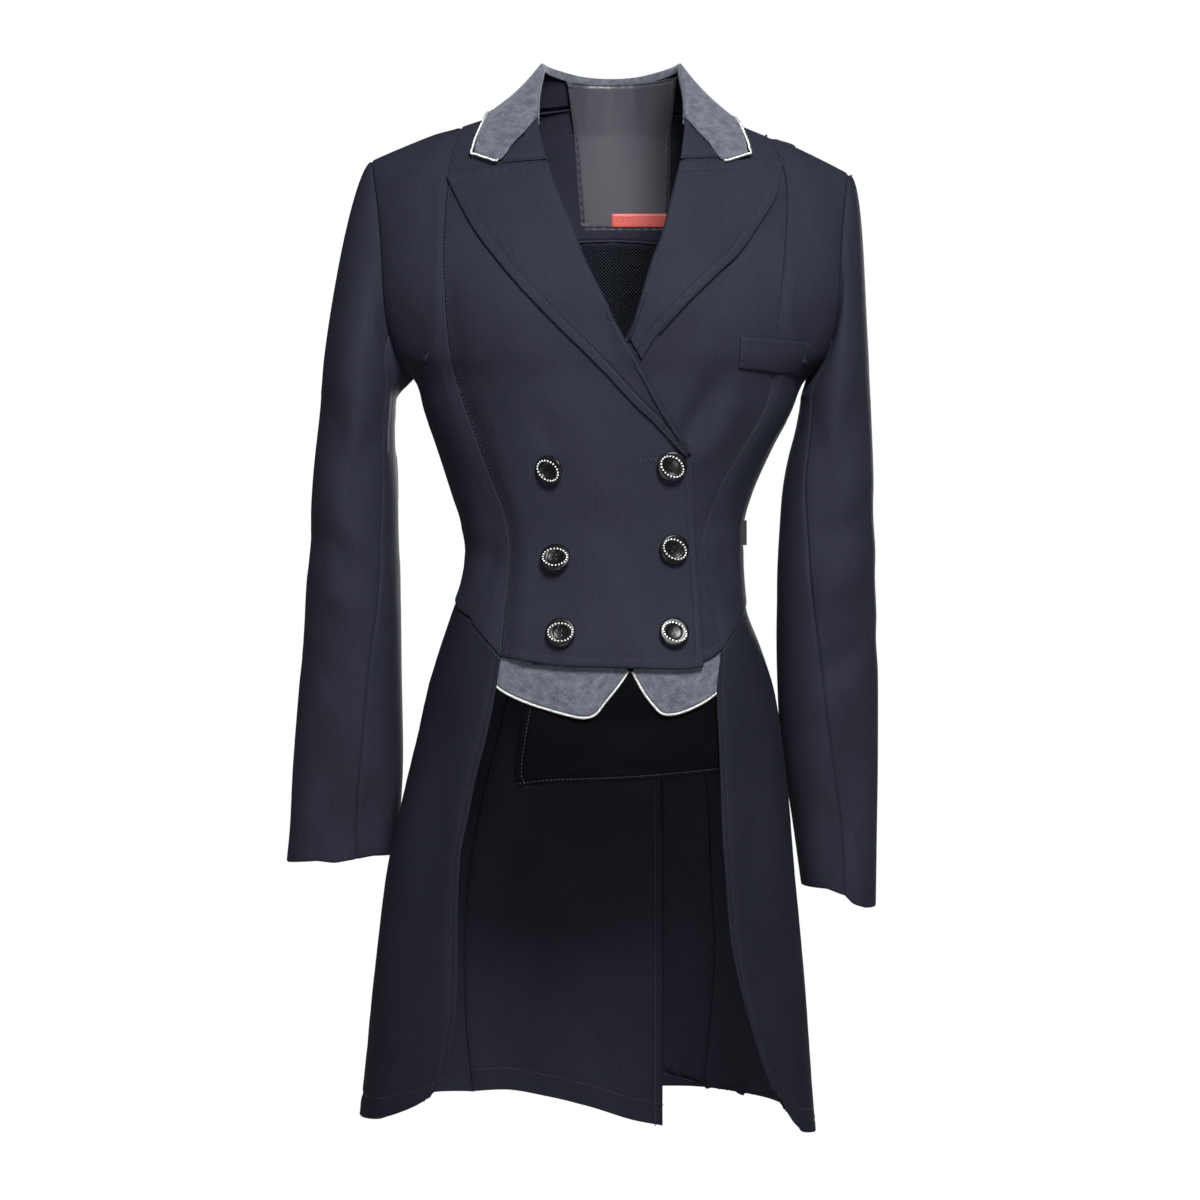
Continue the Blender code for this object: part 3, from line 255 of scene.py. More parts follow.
def bisect(low, high, goes_on):
    """Where a condition that holds at low stops holding, for whole arrays."""
    for _ in range(40):
        middle = (low + high) / 2
        on = goes_on(middle)
        low = np.where(on, middle, low)
        high = np.where(on, high, middle)
    return (low + high) / 2


def fall_off(x):
    return (np.abs(x) / SHOULDER_HALF) ** 1.5 * np.where(np.asarray(x) > 0, LEFT_DROP, 1.0)


def neck_share(x):
    return np.maximum(0, 1 - (x / NECK_SPREAD) ** 2)


def form_point(angle, level):
    """Points of the body form at angles in degrees and levels of the table."""
    value = np.moveaxis(smooth_read(FORM, level), -1, 0)
    sine, cosine = np.sin(np.radians(angle)), np.cos(np.radians(angle))
    size = (np.abs(sine) ** value[SQUARE] + np.abs(cosine) ** value[SQUARE]) ** (1 / value[SQUARE])
    x = (value[LEFT] + value[RIGHT]) / 2 + (value[LEFT] - value[RIGHT]) / 2 * sine / size
    bust = value[BUST] * np.exp(-((np.abs(x) - BUST_PLACE) / BUST_SPREAD) ** 2)
    front = -(value[FRONT] + bust) * cosine / size - value[NECK_FRONT] * neck_share(x)
    back = -value[BACK] * cosine / size + value[NECK_BACK] * neck_share(x)
    y = np.where(cosine >= 0, front, back)
    return np.stack([x, y, value[HEIGHT] - value[SLOPE] * fall_off(x)], axis=-1)


def unit(vectors):
    return vectors / np.maximum(np.linalg.norm(vectors, axis=-1, keepdims=True), 1e-9)


def form_normal(angle, level):
    around = form_point(angle + 0.5, level) - form_point(angle - 0.5, level)
    down = form_point(angle, level + 0.03) - form_point(angle, np.maximum(0, level - 0.03))
    normal = unit(np.cross(around, down))
    middle = form_point(angle, level)
    outward = normal[..., 0] * middle[..., 0] + normal[..., 1] * middle[..., 1] + np.maximum(normal[..., 2], 0) * 40
    normal = normal * np.where(outward < 0, -1, 1)[..., None]
    seam = np.maximum(0, 1 - level / 0.8) * (1 - ease(neck_share(middle[..., 0]) * 6))
    normal[..., 1] *= 1 - seam
    return unit(normal)


def on_body(places, lift=0.0):
    angle, level = places[..., 0], places[..., 1]
    return form_point(angle, level) + form_normal(angle, level) * np.asarray(lift)[..., None]


def angle_across(x, level, back=False):
    value = np.moveaxis(smooth_read(FORM[:, [LEFT, RIGHT, SQUARE]], level), -1, 0)
    across = (x - (value[0] + value[1]) / 2) / ((value[0] - value[1]) / 2)
    share = np.minimum(np.abs(across), 0.9999)
    angle = np.degrees(np.arctan2(share, (1 - share ** value[2]) ** (1 / value[2])))
    return np.copysign(180 - angle if back else angle, across)


def spots(points, back=False):
    """Angles and levels at which the form shows at (across, height)."""
    points = np.asarray(points, float)
    x, z = points[..., 0], points[..., 1]

    def above(level):
        value = smooth_read(FORM[:, [HEIGHT, SLOPE]], level)
        return value[..., 0] - value[..., 1] * fall_off(x) > z
    level = bisect(np.zeros(x.shape), np.full(x.shape, len(FORM) - 1.0), above)
    level = np.where(level < 0.01, 0.0, level)
    return np.stack([angle_across(x, level, back), level], axis=-1)


def level_at(height):
    height = np.asarray(height, float)
    return bisect(np.zeros(height.shape), np.full(height.shape, len(FORM) - 1.0),
                  lambda level: smooth_read(FORM[:, HEIGHT], level) > height)


def read_by_length(path, places, shares):
    """Rows of a fine path at shares of its length, which is measured on its places."""
    steps = np.linalg.norm(np.diff(places, axis=0), axis=-1)
    lengths = np.concatenate([[0], np.cumsum(steps)])
    return np.stack([np.interp(shares * lengths[-1], lengths, column) for column in path.T], axis=-1)


def along(points, shares):
    """Points of a smooth curve at shares of its length."""
    points = np.asarray(points, float)
    path = smooth_read(points, np.linspace(0, len(points) - 1, 24 * (len(points) - 1) + 1))
    return read_by_length(path, path, np.asarray(shares, float))


def along_body(path, shares):
    return read_by_length(path, form_point(path[:, 0], path[:, 1]), np.asarray(shares, float))


def fill(top, bottom, first, last, u, v):
    """Places between four edges that meet at their ends; first and last run from top to bottom."""
    top, bottom = (np.concatenate([first[[end]], edge[1:-1], last[[end]]]) for end, edge in ((0, top), (-1, bottom)))
    u, v = u[None, :, None], v[:, None, None]
    return ((1 - v) * top[None] + v * bottom[None] + (1 - u) * first[:, None] + u * last[:, None]
            - (1 - u) * (1 - v) * top[0] - u * (1 - v) * top[-1] - (1 - u) * v * bottom[0] - u * v * bottom[-1])


NEAR_EDGE = (0.003, 0.008, 0.014, 0.021, 0.029, 0.037, 0.045, 0.053, 0.061, 0.070)


def shares_of(count, *kept):
    """Shares from 0 to 1, closer together at both ends, with some places kept exactly."""
    near = np.array(NEAR_EDGE)
    middle = np.linspace(0, 1, count + 1)
    middle = middle[(middle > near[-1] * 1.3) & (middle < 1 - near[-1] * 1.3)]
    for place in kept:
        middle[np.argmin(np.abs(middle - place))] = place
    return np.concatenate([[0], near, middle, 1 - near[::-1], [1]])


# ---------------------------------------------------------------- edges that panels share

BODICE_V = shares_of(88, ARM_SHARE)
TAIL_V = shares_of(84)


def ridge_places(start, end, shares, back=False):
    """Places on the shoulder seam."""
    x = start + (end - start) * shares
    return np.stack([angle_across(x, np.zeros(x.shape), back), np.zeros(x.shape)], axis=-1)


def princess_edge(side):
    path = spots(along(PRINCESS[side], np.linspace(0, 1, 200)))
    path[0] = ridge_places(PRINCESS[side][0][0], 0, np.zeros(1))[0]
    return along_body(path, BODICE_V ** ROW_CROWDING)


def arm_edge(side, shares, back=False):
    """Armhole, then side seam down to the waist."""
    sign = side_sign(side)
    curve = along(ARMHOLE, np.linspace(0, 1, 120)) * (sign, 1)
    path = spots(curve, back)
    path[0] = ridge_places(sign * SHOULDER_HALF, 0, np.zeros(1), back)[0]
    path = np.concatenate([path, [(sign * 90.0, level_at(UNDERARM_HEIGHT))]])
    arm = along_body(path, np.clip(shares / ARM_SHARE, 0, 1) ** ARM_CROWDING)
    drop = np.clip((shares - ARM_SHARE) / (1 - ARM_SHARE), 0, 1)
    level = level_at(UNDERARM_HEIGHT + (WAIST_AT_SIDE - UNDERARM_HEIGHT) * drop)
    seam = np.stack([np.full(level.shape, sign * 90.0), level], axis=-1)
    return np.where((shares <= ARM_SHARE)[:, None], arm, seam)


def back_seam_angle(height):
    at = bisect(np.zeros(height.shape), np.full(height.shape, len(BACK_SEAM) - 1.0),
                lambda row: smooth_read(BACK_SEAM[:, 0], row) > height)
    return 180 - smooth_read(BACK_SEAM[:, 1], at)


def back_princess(side):
    height = np.linspace(20, WAIST_AT_SIDE, 200)
    path = np.stack([side_sign(side) * back_seam_angle(height), level_at(height)], axis=-1)
    path[0] = ridge_places(PRINCESS[side][0][0], 0, np.zeros(1), True)[0]
    return along_body(path, BODICE_V ** ROW_CROWDING)


def waist_places(side, shares):
    """Waist seam from the front princess seam (0) to the side (0.5) and the back one (1)."""
    sign = side_sign(side)
    level = level_at(WAIST_AT_SIDE)
    points = np.concatenate([spots(along(WAIST_SEAM[side], np.linspace(0, 1, 5))), [(sign * 90.0, level)]])
    front = smooth_read(points, np.clip(shares * 2, 0, 1) * 5)
    end = back_seam_angle(np.array([float(WAIST_AT_SIDE)]))[0]
    back = np.stack([sign * (90 + (end - 90) * np.clip(shares * 2 - 1, 0, 1)),
                     np.full(shares.shape, level)], axis=-1)
    return np.where((shares <= 0.5)[:, None], front, back)


def tail_back_seam(side):
    height = np.linspace(WAIST_AT_SIDE, BACK_HEM[side][0][1], 160)
    path = np.stack([side_sign(side) * back_seam_angle(height), level_at(height)], axis=-1)
    path[-1] = spots(np.array([BACK_HEM[side][0]]), True)[0]
    return along_body(path, TAIL_V)


# ---------------------------------------------------------------- creases and relief

FRONTAL, BEHIND = "front", "back"
# Troughs (depth above 0) and ridges (below 0) of the shell, as (across, height) seen from the front.
BODY_CREASES = (
    # face, width, depth, points
    (FRONTAL, 11, 3.6, ((92, -226), (74, -258), (60, -284))),
    (FRONTAL, 14, -2.6, ((108, -236), (90, -266), (72, -300))),
    (FRONTAL, 13, 1.7, ((-118, -292), (-100, -345), (-92, -400))),
    (FRONTAL, 12, 1.4, ((-60, -250), (-54, -272), (-50, -290))),
    (FRONTAL, 16, 1.0, ((-38, -356), (0, -350), (36, -358))),
    (FRONTAL, 18, 1.0, ((-70, -424), (-30, -410), (12, -424))),
    (FRONTAL, 12, 1.5, ((94, -330), (84, -352), (88, -380))),
    (FRONTAL, 14, 2.0, ((150, -262), (128, -300), (112, -340))),
    (FRONTAL, 12, 1.8, ((-150, -262), (-134, -310), (-124, -350))),
    (FRONTAL, 11, 1.6, ((-124, -366), (-108, -372), (-96, -384))),
    (FRONTAL, 12, 1.5, ((112, -368), (98, -378), (88, -392))),
    (FRONTAL, 14, 1.1, ((178, -160), (164, -196), (152, -228))),
    (FRONTAL, 14, 1.1, ((-178, -160), (-164, -196), (-152, -226))),
    (FRONTAL, 20, 2.6, ((-140, -480), (-154, -600), (-170, -720))),
    (FRONTAL, 22, -2.2, ((-166, -520), (-180, -640), (-196, -790))),
    (FRONTAL, 18, 2.2, ((118, -470), (124, -600), (136, -740))),
    (FRONTAL, 22, -1.8, ((136, -560), (146, -700), (160, -820))),
    (BEHIND, 16, 2.4, ((-100, -372), (-40, -362), (0, -366))),
    (BEHIND, 16, 2.2, ((104, -360), (50, -352), (6, -356))),
    (BEHIND, 18, -1.6, ((-96, -392), (-30, -386), (40, -390))),
    (BEHIND, 18, 2.2, ((-150, -200), (-128, -240), (-112, -290))),
    (BEHIND, 18, 2.2, ((148, -204), (126, -246), (106, -290))),
    (BEHIND, 20, 2.6, ((-70, -430), (-78, -560), (-88, -720))),
    (BEHIND, 20, 2.2, ((64, -430), (70, -560), (84, -700))),
    (BEHIND, 22, -2.0, ((-130, -470), (-150, -620), (-168, -800))),
    (BEHIND, 22, -2.0, ((118, -470), (130, -620), (146, -800))),
    (BEHIND, 30, 0.5, ((-60, -70), (0, -84), (60, -70))),
)
SLEEVE_CREASES = {
    "right": (
        (FRONTAL, 13, 3.2, ((-188, -250), (-206, -300), (-212, -350))),
        (FRONTAL, 12, 2.6, ((-184, -268), (-192, -330), (-190, -380))),
        (FRONTAL, 15, 2.4, ((-236, -230), (-226, -290), (-214, -330))),
        (FRONTAL, 13, 2.2, ((-258, -352), (-232, -366), (-204, -392))),
        (FRONTAL, 12, -1.8, ((-252, -392), (-228, -410), (-204, -424))),
        (FRONTAL, 14, 1.8, ((-260, -450), (-236, -476), (-214, -510))),
        (FRONTAL, 14, 1.6, ((-226, -520), (-238, -560), (-244, -612))),
        (FRONTAL, 11, 1.6, ((-200, -560), (-206, -590), (-206, -622))),
        (BEHIND, 15, 3.0, ((-248, -380), (-222, -400), (-196, -404))),
        (BEHIND, 13, 2.4, ((-250, -430), (-226, -436), (-200, -430))),
        (BEHIND, 16, 2.2, ((-190, -250), (-214, -300), (-232, -340))),
    ),
    "left": (
        (FRONTAL, 13, 3.0, ((170, -250), (176, -310), (172, -370))),
        (FRONTAL, 14, 2.6, ((208, -226), (196, -290), (186, -340))),
        (FRONTAL, 12, 2.0, ((218, -330), (196, -352), (170, -366))),
        (FRONTAL, 14, -1.8, ((216, -372), (194, -396), (168, -408))),
        (FRONTAL, 13, 2.0, ((220, -440), (196, -462), (168, -480))),
        (FRONTAL, 14, 1.8, ((206, -500), (198, -560), (200, -620))),
        (FRONTAL, 11, 1.6, ((184, -580), (188, -620), (186, -650))),
        (BEHIND, 15, 3.0, ((216, -390), (190, -408), (160, -412))),
        (BEHIND, 13, 2.2, ((218, -446), (196, -450), (166, -444))),
        (BEHIND, 16, 2.2, ((164, -256), (184, -300), (204, -344))),
    ),
}
FOLD_GAIN = 1.9
CREASE_STEPS = 39
SIDEWAYS = 0.25                # creases of the front run on to where the cloth faces this far back
SEAM_DEPTH, SEAM_WIDTH = 1.3, 1.4
EDGE_ROUND = 1.4               # how far in a turned edge is rounded
EDGE_DROP = 1.2
# topstitching inside an edge of the front, its hem, the lapel, a tail, the tail's hem, the suede and a seam
FRONT_STITCH_IN, HEM_STITCH_IN, LAPEL_STITCH_IN, LAPEL_TOP_STITCH_IN = 6.5, 8.0, 8.0, 10.0
TAIL_STITCH_IN, TAIL_HEM_STITCH_IN, SUEDE_STITCH_IN, SEAM_STITCH_IN, LABEL_STITCH_IN = 7.0, 20.0, 5.0, 2.2, 2.0
GROOVE_DEPTH, GROOVE_WIDTH = 1.1, 1.1
PUCKER, PUCKER_PITCH, PUCKER_WIDTH = 0.38, 7.5, 4.0


def sheet_normals(sheet):
    down = np.gradient(sheet, axis=0)
    across = np.gradient(sheet, axis=1)
    return unit(np.cross(across, down))


def outward_normals(sheet, hint):
    """Normals of a sheet that point to the hinted side."""
    normals = sheet_normals(sheet)
    return normals if np.sum(normals * hint) > 0 else -normals


def crease_lift(sheet, normals, creases):
    """How far each point moves along its normal for the creases that cross it."""
    total = np.zeros(sheet.shape[:2])
    for face, width, depth, points in creases:
        facing = normals[..., 1] < SIDEWAYS if face == FRONTAL else normals[..., 1] > -SIDEWAYS
        line = along(points, np.linspace(0, 1, CREASE_STEPS + 1))
        gaps = np.linalg.norm(sheet[:, :, None, [0, 2]] - line, axis=-1)
        share = np.argmin(gaps, axis=-1) / CREASE_STEPS
        taper = np.sin(np.pi * np.clip(share * 0.92 + 0.04, 0, 1)) ** 0.7
        total -= FOLD_GAIN * depth * taper * np.exp(-(np.min(gaps, axis=-1) / width) ** 2) * facing
    return total


def edge_distances(sheet):
    """For each point, how far it lies from the first, last, top and bottom edges along the grid."""
    across = np.concatenate([np.zeros((len(sheet), 1)),
                             np.cumsum(np.linalg.norm(np.diff(sheet, axis=1), axis=-1), axis=1)], axis=1)
    down = np.concatenate([np.zeros((1, sheet.shape[1])),
                           np.cumsum(np.linalg.norm(np.diff(sheet, axis=0), axis=-1), axis=0)], axis=0)
    return {"first": (across, down), "last": (across[:, -1:] - across, down),
            "top": (down, across), "bottom": (down[-1:] - down, across)}


def edge_relief(sheet, edges, seed=0.0):
    """Lift near the edges: "seam" presses them in, a number rounds and topstitches them that far in."""
    lift = np.zeros(sheet.shape[:2])
    distances = edge_distances(sheet)
    for edge, finish in edges.items():
        gap, run = distances[edge]
        if finish == "seam":
            lift -= SEAM_DEPTH * np.exp(-(gap / SEAM_WIDTH) ** 2)
            continue
        lift -= EDGE_DROP * np.clip(1 - gap / EDGE_ROUND, 0, 1) ** 2
        if finish > 0:
            lift -= GROOVE_DEPTH * np.exp(-((gap - finish) / GROOVE_WIDTH) ** 2)
            wave = np.sin(2 * math.pi * run / PUCKER_PITCH + 1.7 * np.sin(run / 31 + seed))
            lift += PUCKER * wave * np.exp(-((gap - finish * 0.6) / PUCKER_WIDTH) ** 2)
    return lift


# ---------------------------------------------------------------- meshes

collection = bpy.context.scene.collection
stitch_lines = []              # 3-D polylines that topstitching follows


def piece_from(name, vertices, faces, finish, uvs=None):
    mesh = bpy.data.meshes.new(name)
    mesh.from_pydata((np.asarray(vertices) * MM).tolist(), [], faces)
    if uvs is not None:
        layer = mesh.uv_layers.new(name="cloth")
        corners = np.empty(len(mesh.loops), dtype=np.int32)
        mesh.loops.foreach_get("vertex_index", corners)
        layer.data.foreach_set("uv", (np.asarray(uvs)[corners] * MM).astype(np.float32).ravel())
    mesh.materials.append(finish)
    mesh.shade_smooth()
    result = bpy.data.objects.new(name, mesh)
    collection.objects.link(result)
    return result


def sheet_faces(rows, columns, flip):
    index = np.arange(rows * columns).reshape(rows, columns)
    faces = np.stack([index[:-1, :-1], index[:-1, 1:], index[1:, 1:], index[1:, :-1]], axis=-1).reshape(-1, 4)
    return (faces[:, ::-1] if flip else faces).tolist()


def cloth_uv(sheet):
    """Across and down a sheet in millimetres of cloth, from its middle."""
    distances = edge_distances(sheet)
    across, down = distances["first"][0], distances["top"][0]
    u = across - across[:, sheet.shape[1] // 2][:, None]
    v = down - down[sheet.shape[0] // 2][None]
    return np.stack([u, -v], axis=-1).reshape(-1, 2)


def solid_cloth(name, sheet, normals, finish, thick):
    """Thin shell with its outer face on the sheet."""
    flip = np.sum(sheet_normals(sheet) * normals) < 0
    vertices = sheet.reshape(-1, 3)
    rows, columns = sheet.shape[:2]
    piece = piece_from(name, vertices, sheet_faces(rows, columns, flip), finish, cloth_uv(sheet))
    shell = piece.modifiers.new("thickness", "SOLIDIFY")
    shell.thickness = thick * MM
    shell.offset = -1
    shell.use_rim = True
    shell.use_quality_normals = True
    shell.use_even_offset = False
    return piece


def declare(piece, node):
    """Hands a cut piece to the frame: attaches it to the root body and hides the solid of its node."""
    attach(piece, "root")
    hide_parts(node)


def panel(name, places, finish, edges, creases=(), lift=0.0, **settings):
    """Cloth panel on the body form; returns its outer sheet."""
    pattern = on_body(places, np.broadcast_to(np.asarray(lift, float), places.shape[:2]))
    hint = form_normal(places[..., 0], places[..., 1])
    return finish_panel(name, pattern, hint, finish, edges, creases, **settings)


def finish_panel(name, pattern, hint, finish, edges, creases=(), thick=CLOTH, slot="stretch_cloth", stitches=()):
    normals = outward_normals(pattern, hint)
    extra = crease_lift(pattern, normals, creases) + edge_relief(pattern, edges, len(name))
    sheet = pattern + normals * extra[..., None]
    declare(solid_cloth("cloth_" + name, sheet, normals, finish, thick), name)
    for edge, inset in stitches:
        stitch_lines.append(inset_line(sheet, normals, edge, inset))
    return sheet, normals


def inset_line(sheet, normals, edge, inset, rise=0.12):
    """Line on a sheet that keeps a distance from one of its edges."""
    grid = {"first": (sheet, normals), "last": (sheet[:, ::-1], normals[:, ::-1]),
            "top": (sheet.transpose(1, 0, 2), normals.transpose(1, 0, 2)),
            "bottom": (sheet[::-1].transpose(1, 0, 2), normals[::-1].transpose(1, 0, 2))}[edge]
    points = []
    for row, outs in zip(*grid):
        lengths = np.concatenate([[0], np.cumsum(np.linalg.norm(np.diff(row, axis=0), axis=-1))])
        if lengths[-1] < inset * 1.5:
            continue
        place = [np.interp(inset, lengths, row[:, axis]) for axis in range(3)]
        out = [np.interp(inset, lengths, outs[:, axis]) for axis in range(3)]
        points.append(np.array(place) + np.array(out) * rise)
    return np.array(points)


# ---------------------------------------------------------------- nodes and materials

def linear(code):
    """Linear colour of an sRGB hex value."""
    parts = [int(code[place:place + 2], 16) / 255 for place in (1, 3, 5)]
    return (*(p / 12.92 if p <= 0.04045 else ((p + 0.055) / 1.055) ** 2.4 for p in parts), 1.0)


def add_node(tree, kind, links=None, **settings):
    """Adds a node with its settings; links gives each input a value or another node's output."""
    node = tree.nodes.new(kind)
    for name, value in settings.items():
        setattr(node, name, value)
    for socket, value in (links or {}).items():
        if isinstance(value, bpy.types.NodeSocket):
            tree.links.new(value, node.inputs[socket])
        else:
            node.inputs[socket].default_value = value
    return node


def new_finish(name, color, **sockets):
    finish = bpy.data.materials.new(name)
    finish.use_nodes = True
    shader = finish.node_tree.nodes["Principled BSDF"]
    shader.inputs["Base Color"].default_value = linear(color)
    for socket, value in sockets.items():
        shader.inputs[socket.replace("_", " ")].default_value = value
    return finish, finish.node_tree, shader


def scaled_uv(tree, across, along_cloth, turn=0.0):
    """Cloth coordinates in units of a pitch given in millimetres each way."""
    place = add_node(tree, "ShaderNodeUVMap", uv_map="cloth")
    return add_node(tree, "ShaderNodeMapping", {
        "Vector": place.outputs["UV"], "Rotation": (0, 0, turn),
        "Scale": (1 / (across * MM), 1 / (along_cloth * MM), 1)}).outputs["Vector"]


def tone(tree, factor, dark, light, low=0.3, high=0.7):
    """Colour between two hex values by a factor."""
    ramp = add_node(tree, "ShaderNodeValToRGB", {"Fac": factor})
    ramp.color_ramp.elements[0].position = low
    ramp.color_ramp.elements[0].color = linear(dark)
    ramp.color_ramp.elements[1].position = high
    ramp.color_ramp.elements[1].color = linear(light)
    return ramp.outputs["Color"]


def add_up(tree, *terms):
    """Sum of (output, weight) pairs."""
    total = None
    for output, weight in terms:
        total = add_node(tree, "ShaderNodeMath", {0: output, 1: weight, 2: total or 0.0},
                         operation="MULTIPLY_ADD").outputs[0]
    return total


def bump(tree, shader, height, distance, strength=1.0):
    node = add_node(tree, "ShaderNodeBump", {"Height": height, "Distance": distance * MM, "Strength": strength})
    tree.links.new(node.outputs["Normal"], shader.inputs["Normal"])


WEAVE = 4.8                    # the wave texture repeats every 0.314 of this, which is 1.5 mm


def woven_shell(name, dark, light, gloss):
    """Polyamide and elastane bi-stretch, plain woven: matt navy black with a faint dry sheen.

    The real threads are 0.3 mm apart, too fine to show, so the weave is drawn at 1.5 mm.
    """
    finish, tree, shader = new_finish(name, dark, Roughness=0.75, IOR=1.46,
                                      Sheen_Weight=gloss / 4, Sheen_Roughness=0.4)
    shader.inputs["Sheen Tint"].default_value = linear("#9aa3bf")
    shader.inputs["Specular IOR Level"].default_value = gloss
    weft, warp = (add_node(tree, "ShaderNodeTexWave", {"Vector": scaled_uv(tree, WEAVE, WEAVE), "Scale": 1.0,
                                                       "Distortion": 0.6, "Detail": 1.0},
                           bands_direction=band).outputs["Fac"] for band in "YX")
    slub, grain, cloud = (
        add_node(tree, "ShaderNodeTexNoise", {"Vector": scaled_uv(tree, *size), "Scale": 1.0, "Detail": detail})
        .outputs["Fac"] for size, detail in (((1.2, 16), 3.0), ((0.9, 0.9), 2.0), ((60, 90), 2.0)))
    mix = add_up(tree, (slub, 0.35), (grain, 0.25), (cloud, 0.4))
    tree.links.new(tone(tree, mix, dark, light), shader.inputs["Base Color"])
    bump(tree, shader, add_up(tree, (weft, 0.35), (warp, 0.35), (slub, 0.5), (grain, 0.6)), 0.16, 0.6)
    return finish


def brushed_suede():
    """Grey microfibre suede: brushed nap in lighter and darker patches, no gloss."""
    finish, tree, shader = new_finish("grey microfibre suede", "#5e646d", Roughness=0.92, IOR=1.45,
                                      Sheen_Weight=0.25, Sheen_Roughness=0.6)
    shader.inputs["Sheen Tint"].default_value = linear("#c9ced8")
    shader.inputs["Specular IOR Level"].default_value = 0.2
    patches = add_node(tree, "ShaderNodeTexNoise", {"Vector": scaled_uv(tree, 11, 8), "Scale": 1.0,
                                                    "Detail": 5.0, "Roughness": 0.65}).outputs["Fac"]
    nap = add_node(tree, "ShaderNodeTexNoise", {"Vector": scaled_uv(tree, 1.1, 1.6), "Scale": 1.0,
                                                "Detail": 3.0}).outputs["Fac"]
    mix = add_up(tree, (patches, 0.6), (nap, 0.4))
    tree.links.new(tone(tree, mix, "#393c45", "#5c5f69", 0.4, 0.62), shader.inputs["Base Color"])
    bump(tree, shader, add_up(tree, (patches, 0.3), (nap, 0.7)), 0.22, 0.7)
    return finish


def silver_gimp():
    """Silver lurex cord: metallised film over thread, bright but not mirror-like."""
    finish, tree, shader = new_finish("silver lurex cord", "#d8d8d4", Roughness=0.38, Metallic=0.75)
    place = add_node(tree, "ShaderNodeTexCoord").outputs["Object"]
    glint = add_node(tree, "ShaderNodeTexNoise", {"Vector": place, "Scale": 1400.0, "Detail": 1.0}).outputs["Fac"]
    tree.links.new(tone(tree, glint, "#a9a9a6", "#f1f1ec"), shader.inputs["Base Color"])
    bump(tree, shader, glint, 0.1, 0.4)
    return finish


def perforated_mesh():
    """Polyester warp-knit mesh: black, with a staggered net of 1.2 mm holes 2.8 mm apart; the holes are painted
    black, painted shade of the dark inside seen through them.
    """
    finish, tree, shader = new_finish("black perforated mesh", "#23252e", Roughness=0.8)
    shader.inputs["Specular IOR Level"].default_value = 0.05
    cell = add_node(tree, "ShaderNodeTexVoronoi", {"Vector": scaled_uv(tree, 2.1, 2.1, math.pi / 4),
                                                   "Scale": 1.0, "Randomness": 0.0},
                    feature="F1").outputs["Distance"]
    # painted shade: the holes are coloured black instead of showing what lies behind them
    tree.links.new(tone(tree, cell, "#000000", "#23252e", 0.4, 0.46), shader.inputs["Base Color"])
    bump(tree, shader, tone(tree, cell, "#000000", "#ffffff", 0.2, 0.4), 0.5, 0.8)
    return finish


def label_satin(name, dark, light):
    """Woven polyester satin: fine level ribs with a soft gloss."""
    finish, tree, shader = new_finish(name, light, Roughness=0.45, Sheen_Weight=0.1)
    rib = add_node(tree, "ShaderNodeTexWave", {"Vector": scaled_uv(tree, 3.8, 3.8), "Scale": 1.0,
                                               "Distortion": 0.3}, bands_direction="Y").outputs["Fac"]
    fleck = add_node(tree, "ShaderNodeTexNoise", {"Vector": scaled_uv(tree, 2.5, 0.8), "Scale": 1.0,
                                                  "Detail": 2.0}).outputs["Fac"]
    tree.links.new(tone(tree, fleck, dark, light), shader.inputs["Base Color"])
    bump(tree, shader, add_up(tree, (rib, 0.6), (fleck, 0.4)), 0.1, 0.4)
    return finish


def tab_satin():
    """The same satin on the side tab, whose solid has no cloth coordinates."""
    finish, tree, shader = new_finish("side tab satin", "#1a1a1c", Roughness=0.45)
    place = add_node(tree, "ShaderNodeTexCoord").outputs["Object"]
    rib = add_node(tree, "ShaderNodeTexWave", {"Vector": place, "Scale": 300.0}, bands_direction="Z").outputs["Fac"]
    tree.links.new(tone(tree, rib, "#111113", "#232326"), shader.inputs["Base Color"])
    bump(tree, shader, rib, 0.1, 0.5)
    return finish


def sewing_thread(name, dark, middle, light, roughness):
    """Twisted polyester thread, a little glossier than the cloth it is sewn in."""
    finish, tree, shader = new_finish(name, middle, Roughness=roughness)
    place = add_node(tree, "ShaderNodeTexCoord").outputs["Object"]
    twist = add_node(tree, "ShaderNodeTexNoise", {"Vector": place, "Scale": 900.0}).outputs["Fac"]
    tree.links.new(tone(tree, twist, dark, light), shader.inputs["Base Color"])
    return finish


def polished_resin():
    """Cast polyester button, polished: deep black with clear reflections and faint swirls."""
    finish, tree, shader = new_finish("polished black resin", "#08080a", Roughness=0.25, IOR=1.4)
    shader.inputs["Specular IOR Level"].default_value = 0.35
    place = add_node(tree, "ShaderNodeTexCoord").outputs["Object"]
    swirl = add_node(tree, "ShaderNodeTexNoise", {"Vector": place, "Scale": 260.0, "Detail": 3.0}).outputs["Fac"]
    tree.links.new(tone(tree, swirl, "#060607", "#101114"), shader.inputs["Base Color"])
    rough = add_node(tree, "ShaderNodeMapRange", {"Value": swirl, "To Min": 0.2, "To Max": 0.36}).outputs["Result"]
    tree.links.new(rough, shader.inputs["Roughness"])
    return finish


def cut_crystal():
    """Foiled lead-glass chatons in a pale setting: small bright facets, whose white base colour and speckle are
    painted reflection and sparkle of the foil.
    """
    finish, tree, shader = new_finish("foiled crystal", "#ffffff", Roughness=0.25, Metallic=0.2)
    place = add_node(tree, "ShaderNodeTexCoord").outputs["Object"]
    # painted sparkle: white and pale grey speckle stands in for glints off the facets
    painted_sparkle = add_node(tree, "ShaderNodeTexVoronoi", {"Vector": place, "Scale": 700.0}).outputs["Distance"]
    tree.links.new(tone(tree, painted_sparkle, "#ffffff", "#d8d6cf", 0.2, 0.8), shader.inputs["Base Color"])
    return finish


